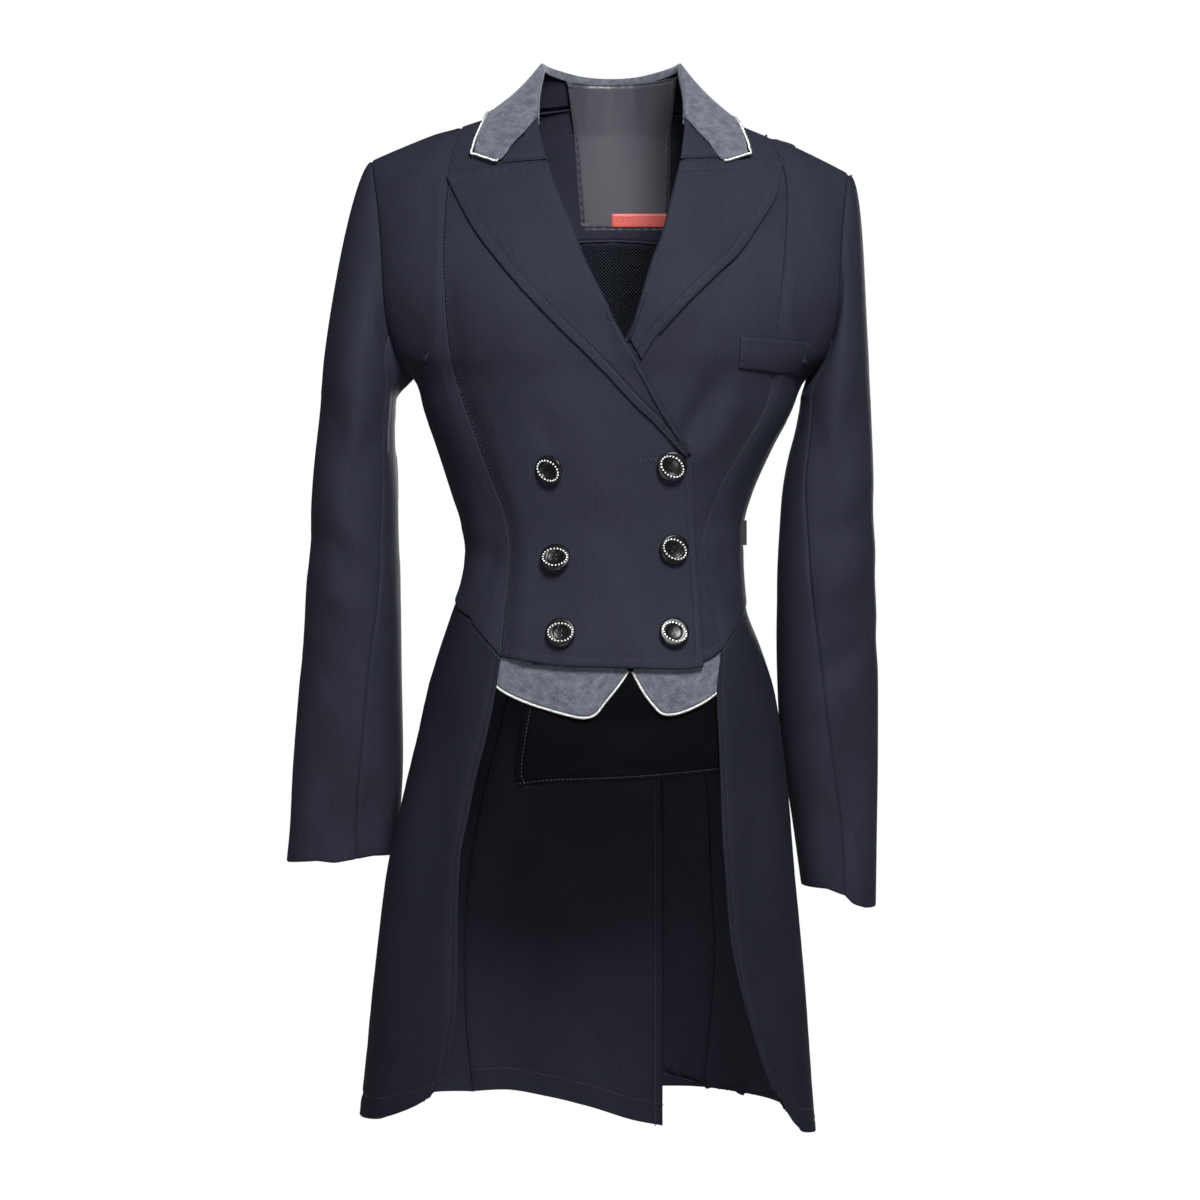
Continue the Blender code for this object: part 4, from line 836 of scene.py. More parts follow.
shell = woven_shell("navy bi-stretch weave", "#1a1b24", "#272833", 0.08)
# the same navy cloth in darker tones: painted shade on the tails, which get less light than the chest
shaded_tail_shell = woven_shell("navy bi-stretch weave in painted tail shade", "#16171f", "#20212a", 0.04)
# painted shade: the underlap flap is the shell cloth, drawn near black for the shade it lies in behind the vest
# points
shade_black_shell = woven_shell("bi-stretch weave blackened as painted shade", "#040406", "#09090c", 0.02)
suede = brushed_suede()
silver = silver_gimp()
mesh_lining = perforated_mesh()
satin = label_satin("charcoal label satin", "#32323a", "#3c3c44")
red_satin = label_satin("red label satin", "#a63f3a", "#c25550")
thread = sewing_thread("navy sewing thread", "#181820", "#20202b", "#2a2a36", 0.55)
suede_thread = sewing_thread("grey sewing thread", "#3c4148", "#4a5058", "#565d66", 0.5)
resin = polished_resin()
crystal = cut_crystal()


# ---------------------------------------------------------------- bodice and tails

LAP_START, LAP_RISE = -112, 55


def lap_lift(height):
    """The right front stands over the left one below the crossing of the rolls."""
    return FRONT_LAP * ease((LAP_START - height) / LAP_RISE)


def by_height(places):
    """Angles and heights instead of levels, which bunch together under the shoulder seam."""
    return np.stack([places[..., 0], smooth_read(FORM[:, HEIGHT], places[..., 1])], axis=-1)


def front_panel(side):
    sign = side_sign(side)
    u, v = shares_of(56, SHOULDER_SHARE), BODICE_V
    neck = (sign * NECK_HALF, FORM[0][HEIGHT] - FORM[0][SLOPE] * fall_off(sign * NECK_HALF))
    upper = along(ROLL[side], np.clip(v / ROLL_SHARE, 0, 1))
    lower = along(FRONT_EDGE[side], np.clip((v - ROLL_SHARE) / (1 - ROLL_SHARE), 0, 1))
    roll = spots(np.where((v <= ROLL_SHARE)[:, None], upper, lower))
    princess = princess_edge(side)
    shoulder = ridge_places(PRINCESS[side][0][0], sign * NECK_HALF, np.clip(u / SHOULDER_SHARE, 0, 1))
    neckline = spots(along((neck, ROLL[side][0]), np.clip((u - SHOULDER_SHARE) / (1 - SHOULDER_SHARE), 0, 1)))
    top = np.where((u <= SHOULDER_SHARE)[:, None], shoulder, neckline)
    bottom = spots(along(FRONT_HEM[side], u))
    places = fill(*map(by_height, (top, bottom, princess, roll)), u, v)
    places[..., 1] = level_at(places[..., 1])
    lift = 0.0
    if side == "right":
        lift = lap_lift(form_point(places[..., 0], places[..., 1])[..., 2]) * ease(u * 9)
    edges = {"first": "seam", "top": "seam", "last": FRONT_STITCH_IN, "bottom": HEM_STITCH_IN}
    sheet, normals = panel("front_" + side, places, shell, edges, BODY_CREASES, lift,
                           stitches=[("first", SEAM_STITCH_IN), ("bottom", HEM_STITCH_IN)])
    below = v > ROLL_SHARE - 0.01
    stitch_lines.append(inset_line(sheet[below], normals[below], "last", FRONT_STITCH_IN))


SEWN_ALL_ROUND = dict.fromkeys(("first", "last", "top", "bottom"), "seam")


def side_front_panel(side):
    u = shares_of(34)
    top = ridge_places(PRINCESS[side][0][0], side_sign(side) * SHOULDER_HALF, u)
    places = fill(top, waist_places(side, u / 2), princess_edge(side), arm_edge(side, BODICE_V), u, BODICE_V)
    panel("side_front_" + side, places, shell, SEWN_ALL_ROUND, BODY_CREASES, SIDE_EASE * ease(3 * u),
          stitches=[("bottom", SEAM_STITCH_IN)])


def side_back_panel(side):
    u = shares_of(34)
    top = ridge_places(side_sign(side) * SHOULDER_HALF, PRINCESS[side][0][0], u, True)
    places = fill(top, waist_places(side, 0.5 + u / 2), arm_edge(side, BODICE_V, True), back_princess(side),
                  u, BODICE_V)
    panel("side_back_" + side, places, shell, SEWN_ALL_ROUND, BODY_CREASES, SIDE_EASE * ease(3 - 3 * u))


def back_panel(side):
    u, sign = shares_of(34), side_sign(side)
    princess = back_princess(side)
    centre = np.stack([np.full(len(princess), sign * 180.0), princess[:, 1]], axis=-1)
    top = ridge_places(PRINCESS[side][0][0], sign * 0.01, u, True)
    bottom = princess[-1] + (centre[-1] - princess[-1]) * u[:, None]
    places = fill(top, bottom, princess, centre, u, BODICE_V)
    panel("back_" + side, places, shell, SEWN_ALL_ROUND, BODY_CREASES, stitches=[("first", SEAM_STITCH_IN)])


def tail_front(side):
    sign = side_sign(side)
    u, v = shares_of(64, 0.5), TAIL_V
    edge, seam = spots(along(TAIL_EDGE[side], v)), tail_back_seam(side)
    top = waist_places(side, u)
    front_hem, side_height, rear_hem = TAIL_HEM[side]
    at_side = np.array([[sign * 90.0, level_at(side_height)]])
    front = np.concatenate([spots(along(front_hem, np.linspace(0, 1, 5))), at_side])
    rear = np.concatenate([at_side, spots(along(rear_hem, np.linspace(0, 1, 5)), True)])
    bottom = np.where((u <= 0.5)[:, None], smooth_read(front, np.clip(u * 2, 0, 1) * 5),
                      smooth_read(rear, np.clip(u * 2 - 1, 0, 1) * 5))
    places = fill(top, bottom, edge, seam, u, v)
    edges = {"first": TAIL_STITCH_IN, "last": "seam", "top": "seam", "bottom": TAIL_HEM_STITCH_IN}
    panel("tail_front_" + side, places, shaded_tail_shell, edges, BODY_CREASES,
          stitches=[("first", TAIL_STITCH_IN), ("bottom", TAIL_HEM_STITCH_IN), ("top", SEAM_STITCH_IN)])


def past_centre(places, sign):
    """Angles that run on past the centre back instead of changing sign there."""
    angle = places[:, 0]
    return np.stack([np.where(angle * sign > 0, angle, angle + sign * 360), places[:, 1]], axis=-1)


VENT_LAP = LAP + 0.6           # the right tail's vent lies this far inside the left one's
VENT_LAP_START, VENT_LAP_RISE = -52, 30


def tail_back(side):
    sign = side_sign(side)
    u, v = shares_of(40), TAIL_V
    seam = tail_back_seam(side)
    vent = past_centre(spots(along(VENT_EDGE[side], v), True), sign)
    hem = past_centre(spots(along(BACK_HEM[side], u), True), sign)
    top = seam[0] + (vent[0] - seam[0]) * u[:, None]
    places = fill(top, hem, seam, vent, u, v)
    lift = 0.0
    if side == "right":
        across = form_point(places[..., 0], places[..., 1])[..., 0]
        lift = -VENT_LAP * ease((across - VENT_LAP_START) / VENT_LAP_RISE)
    edges = {"first": "seam", "last": TAIL_STITCH_IN, "top": "seam", "bottom": TAIL_HEM_STITCH_IN}
    sheet, normals = panel("tail_back_" + side, places, shaded_tail_shell, edges, BODY_CREASES, lift,
                           stitches=[("last", TAIL_STITCH_IN), ("bottom", TAIL_HEM_STITCH_IN),
                                     ("first", SEAM_STITCH_IN)])
    for edge, inset in (("bottom", TAIL_HEM_STITCH_IN), ("last", TAIL_STITCH_IN)):
        stitch_lines.append(inset_line(sheet - normals * CLOTH, -normals, edge, inset))


# ---------------------------------------------------------------- sleeves

def armhole_loop(side):
    shares = np.linspace(0, ARM_SHARE, 33)
    front, rear = arm_edge(side, shares), arm_edge(side, shares, True)
    return np.concatenate([form_point(front[:, 0], front[:, 1]), form_point(rear[:, 0], rear[:, 1])[-2:0:-1]])


def ring_value(loop, corner):
    """Point of the armhole loop at a corner number of the solids' ring."""
    at = corner * len(loop) / RING_CORNERS
    step = np.floor(at).astype(int)
    before, start, end, after = (loop[(step + k) % len(loop)] for k in (-1, 0, 1, 2))
    return hermite(start, end, (end - before) / 2, (after - start) / 2, (at - step)[..., None])


def sleeve_ring(side, angle, height):
    table = SLEEVE[side]
    at = bisect(np.zeros(height.shape), np.full(height.shape, len(table) - 1.0),
                lambda row: smooth_read(table[:, SLEEVE_HEIGHT], row) > height)
    value = np.moveaxis(smooth_read(table, at), -1, 0)
    turn = np.radians(angle)
    half = (value[OUTER] - value[INNER]) / 2
    drop = (SLANT_START - height) / (SLANT_START - table[-1][SLEEVE_HEIGHT])
    slant = SLEEVE_HEM_SLANT[side] * ease(drop) * np.cos(turn)
    return np.stack([side_sign(side) * (value[INNER] + half + half * np.cos(turn)),
                     value[MIDDLE] - value[DEEP] * np.sin(turn), height + slant], axis=-1), value


def sleeve_sheet(side, first, last):
    """Sleeve between two corners of its ring: run 0 at the armhole, 1 at the biceps, 2 at the hem."""
    sign = side_sign(side)
    low = SLEEVE[side][-1][SLEEVE_HEIGHT]
    corner = (first + (last - first) * shares_of(44))[None]
    run = np.concatenate([[0, 0.008, 0.018, 0.032], np.linspace(0.05, 1.97, 110), [1.985, 1.993, 1.998, 2]])[:, None]
    corner, run = np.broadcast_arrays(corner, run)
    height = BICEPS_HEIGHT + (low - BICEPS_HEIGHT) * np.maximum(0, run - 1)
    seam = sleeve_ring(side, corner, height)[1][FRONT_SEAM]
    share = ease(np.minimum(1, run))
    step = 360 / RING_CORNERS
    front_angle = FRONT_SEAM_CORNER * step * (1 - share) + seam * share
    back_angle = BACK_SEAM_CORNER * step * (1 - share) + BACK_SEAM_ANGLE * share
    under = (corner - FRONT_SEAM_CORNER) / (BACK_SEAM_CORNER - FRONT_SEAM_CORNER)
    upper = (corner - BACK_SEAM_CORNER) / (RING_CORNERS - BACK_SEAM_CORNER + FRONT_SEAM_CORNER)
    angle = np.where(corner <= BACK_SEAM_CORNER, front_angle + (back_angle - front_angle) * under,
                     back_angle + (front_angle + 360 - back_angle) * upper)
    arm = sleeve_ring(side, angle, height)[0]
    end = sleeve_ring(side, angle, np.full(height.shape, float(BICEPS_HEIGHT)))[0]
    start = ring_value(armhole_loop(side), corner)
    reach = np.linalg.norm(end - start, axis=-1)
    top = (1 + np.cos(np.radians(angle))) / 2
    front = np.sin(np.radians(angle))
    leave = np.stack([sign * (0.30 * reach - 17 * top), -0.15 * reach * front, -reach * (0.7 - 0.66 * top)], -1)
    arrive = np.stack([sign * 15 * top, np.zeros(top.shape), -reach * (0.8 + 0.17 * top)], -1)
    cap = hermite(start, end, leave, arrive, np.minimum(1, run)[..., None])
    sheet = np.where((run > 1)[..., None], arm, cap)
    middle = np.stack([np.full(run.shape, sign * 205.0), 2 + 40 * np.maximum(0, run - 1),
                       sheet[..., 2] - 40 * (1 - np.minimum(1, run))], axis=-1)
    return sheet, sheet - middle


SLEEVE_EASE = 1.5              # the cloth stands this far off the solid
SIDE_EASE = 1.8                # and this far at the side seams
CUFF_WAVE_START = -590
CUFF_WAVE = {                  # across, rise of the hem there
    "right": ((-278, -250, -235, -215, -203, -190), (-1, 0, -3, 0, 2, 1)),
    "left": ((165, 185, 200, 207, 218, 232), (0, 4, 2.5, -3, -4, -1)),
}


def sleeve(side):
    for name, first, last in (("sleeve_upper_", BACK_SEAM_CORNER, RING_CORNERS + FRONT_SEAM_CORNER),
                              ("sleeve_under_", FRONT_SEAM_CORNER, BACK_SEAM_CORNER)):
        sheet, hint = sleeve_sheet(side, first, last)
        x, z = sheet[..., 0], sheet[..., 2]
        sheet[..., 2] += np.interp(x, *CUFF_WAVE[side]) * ease((CUFF_WAVE_START - z) / 60)
        sheet += unit(hint) * SLEEVE_EASE
        finish_panel(name + side, sheet, hint, shell, {"first": "seam", "last": "seam", "top": "seam", "bottom": 0},
                     SLEEVE_CREASES[side])


# ---------------------------------------------------------------- lapels and collar

CURL_STEPS = 7
ROLL_RADIUS, ROLL_BEND = 3.2, 165     # the lapel's rolled edge


def curl_under(sheet, normals, radius, bend):
    """Adds a rolled edge before a sheet's first column, turning down by an angle in degrees."""
    start, out = sheet[:, 0], normals[:, 0]
    away = unit(start - sheet[:, 10])
    away = unit(away - out * np.sum(away * out, axis=-1, keepdims=True))
    r = np.minimum(radius, edge_distances(sheet)["first"][0][:, -1] * 0.3)[:, None]
    share = np.linspace(0, 1, sheet.shape[1])
    moved = sheet - (away * r)[:, None] * ((1 - share) ** 3)[None, :, None]
    rolled = []
    for turn in np.radians(np.linspace(bend, 0, CURL_STEPS + 1))[:-1]:
        rolled.append(moved[:, 0] - out * r + r * (out * math.cos(turn) + away * math.sin(turn)))
    return np.concatenate([np.stack(rolled, axis=1), moved], axis=1)


def lapel(side):
    u, v = shares_of(36), shares_of(60)
    roll, edge = along(LAPEL_ROLL[side], v), along(LAPEL_OUTER[side], v)
    top, bottom = along(LAPEL_TOP[side], u), along((roll[-1], edge[-1]), u)
    flat = fill(top, bottom, roll, edge, u, v)
    under = lap_lift(flat[..., 1]) if side == "right" else 0.0
    swell = np.sin(np.pi * np.minimum(1, 0.08 + v * 0.92))[:, None] * ((1 - u) ** 2)[None]
    places = spots(flat)
    pattern = on_body(places, under + 0.8 + LAPEL_THICK + LAPEL_PROUD * swell)
    hint = form_normal(places[..., 0], places[..., 1])
    normals = outward_normals(pattern, hint)
    extra = edge_relief(pattern, {"last": LAPEL_STITCH_IN, "top": LAPEL_TOP_STITCH_IN, "bottom": 0}, 2.0)
    sheet = pattern + normals * extra[..., None]
    stitch_lines.append(inset_line(sheet[4:], normals[4:], "last", LAPEL_STITCH_IN))
    stitch_lines.append(inset_line(sheet[:, 5:-14], normals[:, 5:-14], "top", LAPEL_TOP_STITCH_IN))
    sheet = curl_under(sheet, normals, ROLL_RADIUS, ROLL_BEND)
    normals = np.concatenate([np.repeat(normals[:, :1], CURL_STEPS, axis=1), normals], axis=1)
    piece = solid_cloth("cloth_lapel_" + side, sheet, normals, shell, LAPEL_THICK * 0.7)
    declare(piece, "lapel_" + side)


def collar_base(side):
    near, low, far = (np.array(point, float) for point in COLLAR_BASE[side])
    tip_upper = far + (-side_sign(side) * 1.0, 1.6)
    tip_lower = far + (0, -0.6)
    u, v = shares_of(16), shares_of(16)
    flat = fill(along((near, tip_upper), u), along((low, tip_lower), u),
                along((near, low), v), along((tip_upper, tip_lower), v), u, v)
    places = spots(flat)
    panel("collar_base_" + side, places, shell, {"bottom": "seam", "top": 0}, (), COLLAR_BASE_LIFT,
          thick=LAPEL_THICK)


def body_places(rows):
    result = []
    for x, z, face in rows:
        if face == "ridge":
            result.append(ridge_places(float(x), 0, np.zeros(1))[0])
        else:
            result.append(spots(np.array([[x, z]], float), face == "back")[0])
    return np.array(result)


def both_halves(half_rows):
    """Rows from the right front end round the back to the left one, from rows up to the centre back."""
    return np.concatenate([half_rows("right"), half_rows("left")[-2::-1]])


def turned_to(side, rows):
    """Rows of (across, ...) given for the right side, on either side."""
    return [(-side_sign(side) * row[0], *row[1:]) for row in rows]


def collar_away(side):
    roll = np.array(turned_to(side, COLLAR_ROLL))
    return unit(np.stack([roll[:, 0], roll[:, 1] - 10, np.zeros(len(roll))], axis=-1))


def half_collar(side):
    """Cross rows of half the fall, from the roll edge to the outer edge, as the solid has them."""
    across = len(COLLAR_END) + 1
    ends = on_body(body_places(turned_to(side, COLLAR_OUTER)), np.full(len(COLLAR_OUTER), COLLAR_LIFT))
    away = collar_away(side)
    starts = np.array(turned_to(side, COLLAR_ROLL)) + away * (COLLAR_THICK + 1.6)
    share = np.linspace(0, 1, across + 1)[None, :, None]
    crown = (away + (0, 0, 0.5))[:, None] * COLLAR_CROWN[:, None, None] * np.sin(np.pi * share)
    rows = starts[:, None] * (1 - share) + ends[:, None] * share + crown
    front_end = np.array(turned_to(side, COLLAR_END), float)
    rows[0, 1:-1] = on_body(spots(front_end), np.full(len(front_end), COLLAR_LIFT))
    return rows


def half_stand(side):
    """Cross rows of half the stand, from the neck seam to the roll edge."""
    ends = body_places(turned_to(side, COLLAR_NECK))
    feet = form_point(ends[:, 0], ends[:, 1])
    share = np.array((0.06, 0.5, 0.98))[None, :, None]
    return feet[:, None] * (1 - share) + np.array(turned_to(side, COLLAR_ROLL))[:, None] * share


def refine(rows, along_count, across_shares):
    fine = smooth_read(rows, np.linspace(0, len(rows) - 1, along_count + 1))
    columns = smooth_read(fine.transpose(1, 0, 2), across_shares * (rows.shape[1] - 1))
    return columns.transpose(1, 0, 2)


def rope(name, path, radius, finish, pitch=4.2, strands=3, sides=6):
    """Cord of strands laid round each other along a path."""
    path = along(path, np.linspace(0, 1, int(np.linalg.norm(np.diff(path, axis=0), axis=-1).sum() / 0.55)))
    tangent = unit(np.gradient(path, axis=0))
    side_way = unit(np.cross(tangent, (0.2, 0.3, 1.0)))
    up = np.cross(tangent, side_way)
    run = np.concatenate([[0], np.cumsum(np.linalg.norm(np.diff(path, axis=0), axis=-1))])
    vertices, faces = [], []
    strand_radius = radius * 0.56
    for strand in range(strands):
        turn = 2 * math.pi * (run / pitch + strand / strands)
        centre = path + (side_way * np.cos(turn)[:, None] + up * np.sin(turn)[:, None]) * (radius - strand_radius)
        start = strand * len(path) * sides
        ring = 2 * math.pi * np.arange(sides) / sides
        tubes = centre[:, None] + strand_radius * (side_way[:, None] * np.cos(ring)[None, :, None]
                                                   + up[:, None] * np.sin(ring)[None, :, None])
        vertices.append(tubes.reshape(-1, 3))
        for step in range(len(path) - 1):
            for s in range(sides):
                a, b = start + step * sides + s, start + step * sides + (s + 1) % sides
                faces.append((a, b, b + sides, a + sides))
        faces.append(tuple(start + s for s in range(sides))[::-1])
        faces.append(tuple(start + (len(path) - 1) * sides + s for s in range(sides)))
    return face_outward(piece_from(name, np.concatenate(vertices), faces, finish))


def face_outward(piece):
    build = bmesh.new()
    build.from_mesh(piece.data)
    bmesh.ops.recalc_face_normals(build, faces=build.faces)
    build.to_mesh(piece.data)
    build.free()
    return piece


def trim(piece, node=None):
    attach(piece, "root")
    if node:
        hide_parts(node)
    return piece


OVER_ROLL = ((4.6, -6.0), (4.2, -2.0), (2.2, 1.6))   # the fall goes on over the roll: how far in, and how high


def collar():
    rows, away = both_halves(half_collar), both_halves(collar_away)
    over = [rows[:, 0] - away * inward + (0, 0, rise) for inward, rise in OVER_ROLL]
    rows = np.concatenate([np.stack(over, axis=1), rows], axis=1)
    sheet = refine(rows, 150, shares_of(34))
    hint = np.stack([sheet[..., 0], sheet[..., 1] - 5, np.full(sheet.shape[:2], 30.0)], axis=-1)
    pattern = sheet.copy()
    normals = outward_normals(sheet, hint)
    extra = edge_relief(sheet, dict.fromkeys(("last", "top", "bottom"), SUEDE_STITCH_IN), 1.0)
    sheet = sheet + normals * extra[..., None]
    piece = solid_cloth("suede_collar_fall", sheet, normals, suede, 1.2)
    declare(piece, "collar_fall")
    suede_stitches.append(inset_line(sheet[4:-4], normals[4:-4], "last", SUEDE_STITCH_IN))
    stand = refine(both_halves(half_stand), 120, shares_of(14))
    toward_neck = -np.stack([stand[..., 0], stand[..., 1] - 5, np.zeros(stand.shape[:2])], axis=-1)
    finish_panel("collar_stand", stand, toward_neck, shell, {"first": 0, "last": 0}, thick=1.4)
    collar_braid(refine(rows[:, len(over):], 150, np.linspace(0, 1, 30)))


BRAID_OUT = BRAID_RADIUS + 0.3 # the cord's middle from the edge it is sewn to
BRAID_START = 18               # of 30 columns across the fall, where the braid begins at its front end


def half_braid(sheet):
    """Along one front end of the fall and round its outer edge to the centre back."""
    edge = sheet[:, -1]
    out = unit(edge - sheet[:, -3]) * BRAID_OUT
    front_end = sheet[0, BRAID_START:-1]
    front_end = front_end + unit(front_end - sheet[2, BRAID_START:-1]) * BRAID_OUT
    corner = edge[0] + unit(edge[0] - sheet[3, -4]) * (BRAID_OUT + 0.5)
    return np.concatenate([front_end, corner[None], (edge + out)[3:len(edge) // 2 + 1]])


def collar_braid(sheet):
    """Along one end of the fall, round its outer edge and along the other end."""
    path = np.concatenate([half_braid(sheet), half_braid(sheet[::-1])[-2::-1]])
    trim(rope("silver_collar_braid", path, BRAID_RADIUS, silver), "collar_braid")


# ---------------------------------------------------------------- small pieces

suede_stitches = []


def flat_places(top, bottom, first, last, across, down):
    u, v = shares_of(across), shares_of(down)
    return spots(fill(along(top, u), along(bottom, u), along(first, v), along(last, v), u, v))


POINT_LIFT, FLAP_LIFT = -LAP - 0.4, -2 * LAP - 0.2
POINT_THICK = 1.5
FLAP_STITCH_IN, FLAP_HEM_STITCH_IN = 7.0, 4.0


def vest_point(side):
    edge = VEST_POINT[side]
    top = [(x, POINT_TOP_HEIGHT) for x, _ in edge]
    places = flat_places(top, edge, (top[0], edge[0]), (top[-1], edge[-1]), 50, 20)
    sheet, normals = panel("vest_point_" + side, places, suede, {"bottom": SUEDE_STITCH_IN, "first": 0, "last": 0},
                           (), POINT_LIFT, thick=POINT_THICK, slot="suede")
    suede_stitches.append(inset_line(sheet[:, 3:-3], normals[:, 3:-3], "bottom", SUEDE_STITCH_IN))
    line, face = sheet[-1], normals[-4]
    out = np.cross(unit(np.gradient(line, axis=0)), face)
    out = out * np.sign(np.sum(out * (line - sheet[-6]), axis=-1, keepdims=True))
    cord = line + unit(out) * (BRAID_RADIUS - 0.1) - face * 0.5
    trim(rope("silver_vest_braid_" + side, cord, BRAID_RADIUS, silver), "vest_braid_" + side)


def underlap_flap():
    places = flat_places((FLAP_LEFT[0], FLAP_RIGHT[0]), FLAP_BOTTOM, FLAP_LEFT, FLAP_RIGHT, 60, 40)
    creases = ((FRONTAL, 6, 1.6, ((-8, -545), (22, -550), (46, -550), (96, -547))),
               (FRONTAL, 5, 1.2, ((-46, -557), (-24, -555), (-6, -551))),
               (FRONTAL, 14, 2.0, ((-60, -500), (10, -512), (80, -500))))
    edges = {"first": FLAP_STITCH_IN, "bottom": FLAP_HEM_STITCH_IN, "last": 0}
    # the flap's near-black cloth is painted shade
    panel("underlap_flap", places, shade_black_shell, edges, creases, FLAP_LIFT,
          stitches=[("first", FLAP_STITCH_IN), ("bottom", FLAP_HEM_STITCH_IN)])


def breast_welt():
    places = flat_places(WELT_TOP, WELT_BOTTOM, (WELT_TOP[0], WELT_BOTTOM[0]), (WELT_TOP[1], WELT_BOTTOM[1]), 30, 16)
    edges = {"first": WELT_STITCH_IN, "last": WELT_STITCH_IN, "top": 0, "bottom": "seam"}
    panel("breast_welt", places, shell, edges, (), WELT_LIFT - 0.8, thick=WELT_THICK,
          stitches=[("first", WELT_STITCH_IN), ("last", WELT_STITCH_IN)])


FACING_STITCH_IN = 2.0


def back_inside():
    """What shows inside the neck: facing, mesh lining and a bare label with a red band."""
    def arc_panel(name, top, bottom, half_top, half_bottom, finish, lift, edges, slot):
        u, v = shares_of(40), shares_of(30)
        height = top + (bottom - top) * v
        half = half_top + (half_bottom - half_top) * v
        angle = 180 + half[:, None] * (2 * u - 1)[None]
        places = np.stack([angle, np.broadcast_to(level_at(height)[:, None], angle.shape)], axis=-1)
        pattern = on_body(places, np.full(angle.shape, lift - LINING))
        inward = -form_normal(places[..., 0], places[..., 1])
        return finish_panel(name, pattern, inward, finish, edges, thick=LINING, slot=slot)
    # heights of the upper and lower edge, and angles from the centre back there
    facing, out = arc_panel("back_neck_facing", 0, -96, 24, 30, shell, -FACING_DEPTH,
                            {"bottom": FACING_STITCH_IN}, "stretch_cloth")
    stitch_lines.append(inset_line(facing, out, "bottom", FACING_STITCH_IN))
    arc_panel("back_lining", -98, -330, 31, 50, mesh_lining, -FACING_DEPTH + 0.4, {"top": 0}, "mesh_lining")
    label()


BAND_TOP, BAND_BOTTOM, BAND_START = 0.87, 0.985, 0.33   # shares of the label's length and width
LABEL_OFF_STAND = 3.5


def label():
    u, v = shares_of(40), shares_of(50)
    upper, lower = along(LABEL_CORNERS[:2], u), along(LABEL_CORNERS[2:], u)
    flat = fill(upper, lower, along((upper[0], lower[0]), v), along((upper[-1], lower[-1]), v), u, v)
    x, z = flat[..., 0], flat[..., 1]
    foot = on_body(spots(np.stack([x, np.minimum(z, LABEL_BEND)], axis=-1), True), np.full(x.shape, -LABEL_DEPTH))
    neck = both_halves(lambda side: np.array(turned_to(side, COLLAR_ROLL)))
    top_y = np.interp(x, neck[:, 0], neck[:, 1]) - LABEL_OFF_STAND
    top = np.stack([x, top_y, np.full(x.shape, LABEL_CORNERS[0][1])], axis=-1)
    share = np.clip((z - LABEL_BEND) / (LABEL_CORNERS[0][1] - LABEL_BEND), 0, 1)[..., None]
    sheet = foot * (1 - share) + top * share
    toward = -np.stack([x, sheet[..., 1], np.zeros(x.shape)], axis=-1)
    edges = dict.fromkeys(("first", "last", "top", "bottom"), LABEL_STITCH_IN)
    sheet, out = finish_panel("neck_label", sheet, toward, satin, edges, thick=0.9, slot="label_satin",
                              stitches=list(edges.items()))
    rows = (v >= BAND_TOP) & (v <= BAND_BOTTOM)
    band = (sheet + out * 0.35)[rows][:, u >= BAND_START]
    piece = solid_cloth("label_red_band", band, out[rows][:, u >= BAND_START], red_satin, 0.3)
    trim(piece)


BUTTON_RADIUS = 12.4
# across and height, how far it leans left or right and up or down, and the turn of its crystal ring
BUTTONS = ((-50, -302, -22, 4, -35), (49, -298.5, -4, 8, -38), (-45, -376, 0, 24, -2), (50, -368, -3, 2, -30),
           (-41, -438, 0, 4, 0), (50, -438, -4, 6, -25))
BUTTONHOLES = ((24, 40, -294), (32, 42, -366))   # from, to and height, of those that show
RING_ACROSS, RING_DOWN = 10.1, 7.5
CRYSTALS = 22
CRYSTAL_RADIUS = 0.85
SEAT_HEIGHT = 4.5
BUTTON_PROFILE = (  # share of the radius, height
    (0.0, 3.3), (0.42, 3.3), (0.47, 3.5), (0.51, 4.1), (0.56, 4.4), (0.66, 4.5), (0.80, 4.55), (0.88, 4.5),
    (0.95, 4.3), (0.99, 3.7), (1.0, 3.0), (0.98, 2.2), (0.90, 1.3), (0.74, 0.8), (0.36, 0.6), (0.34, 0.0), (0.0, 0.0))
HOLE_OUT = 2.0                 # each of the four holes from the middle, across and down
HOLE_PROFILE = ((0.0, 2.7), (0.95, 2.7), (0.95, 3.42), (1.35, 3.5), (1.45, 3.3), (1.45, 2.7))


def turned(profile, steps):
    """Vertices and faces of a profile turned about Z."""
    vertices, faces, rings = [], [], []
    for radius, height in profile:
        count = 1 if radius == 0 else steps
        rings.append([len(vertices) + k for k in range(count)])
        vertices += [(radius * math.cos(2 * math.pi * k / steps), radius * math.sin(2 * math.pi * k / steps), height)
                     for k in range(count)]
    for upper, lower in zip(rings, rings[1:]):
        for k in range(steps):
            after = (k + 1) % steps
            faces.append(tuple(dict.fromkeys((upper[k % len(upper)], upper[after % len(upper)],
                                              lower[after % len(lower)], lower[k % len(lower)]))))
    return vertices, faces


def button_frame(number):
    """Centre and axes of a button: across its ring, down it and out of the cloth."""
    x, z, lean_side, lean_up, turn = BUTTONS[number - 1]
    place = spots(np.array([[x, z]], float))
    normal = form_normal(place[..., 0], place[..., 1])[0]
    centre = on_body(place, np.array([FRONT_LAP + 0.8]))[0]
    out = unit(normal + np.array((math.sin(math.radians(lean_side)), 0, math.sin(math.radians(lean_up)))))
    across = unit(np.cross((0, 0, 1.0), out))
    across = -across if across[0] < 0 else across
    up = np.cross(out, across)
    up = -up if up[2] < 0 else up
    angle = math.radians(turn)
    return (centre, across * math.cos(angle) + up * math.sin(angle),
            up * math.cos(angle) - across * math.sin(angle), out)


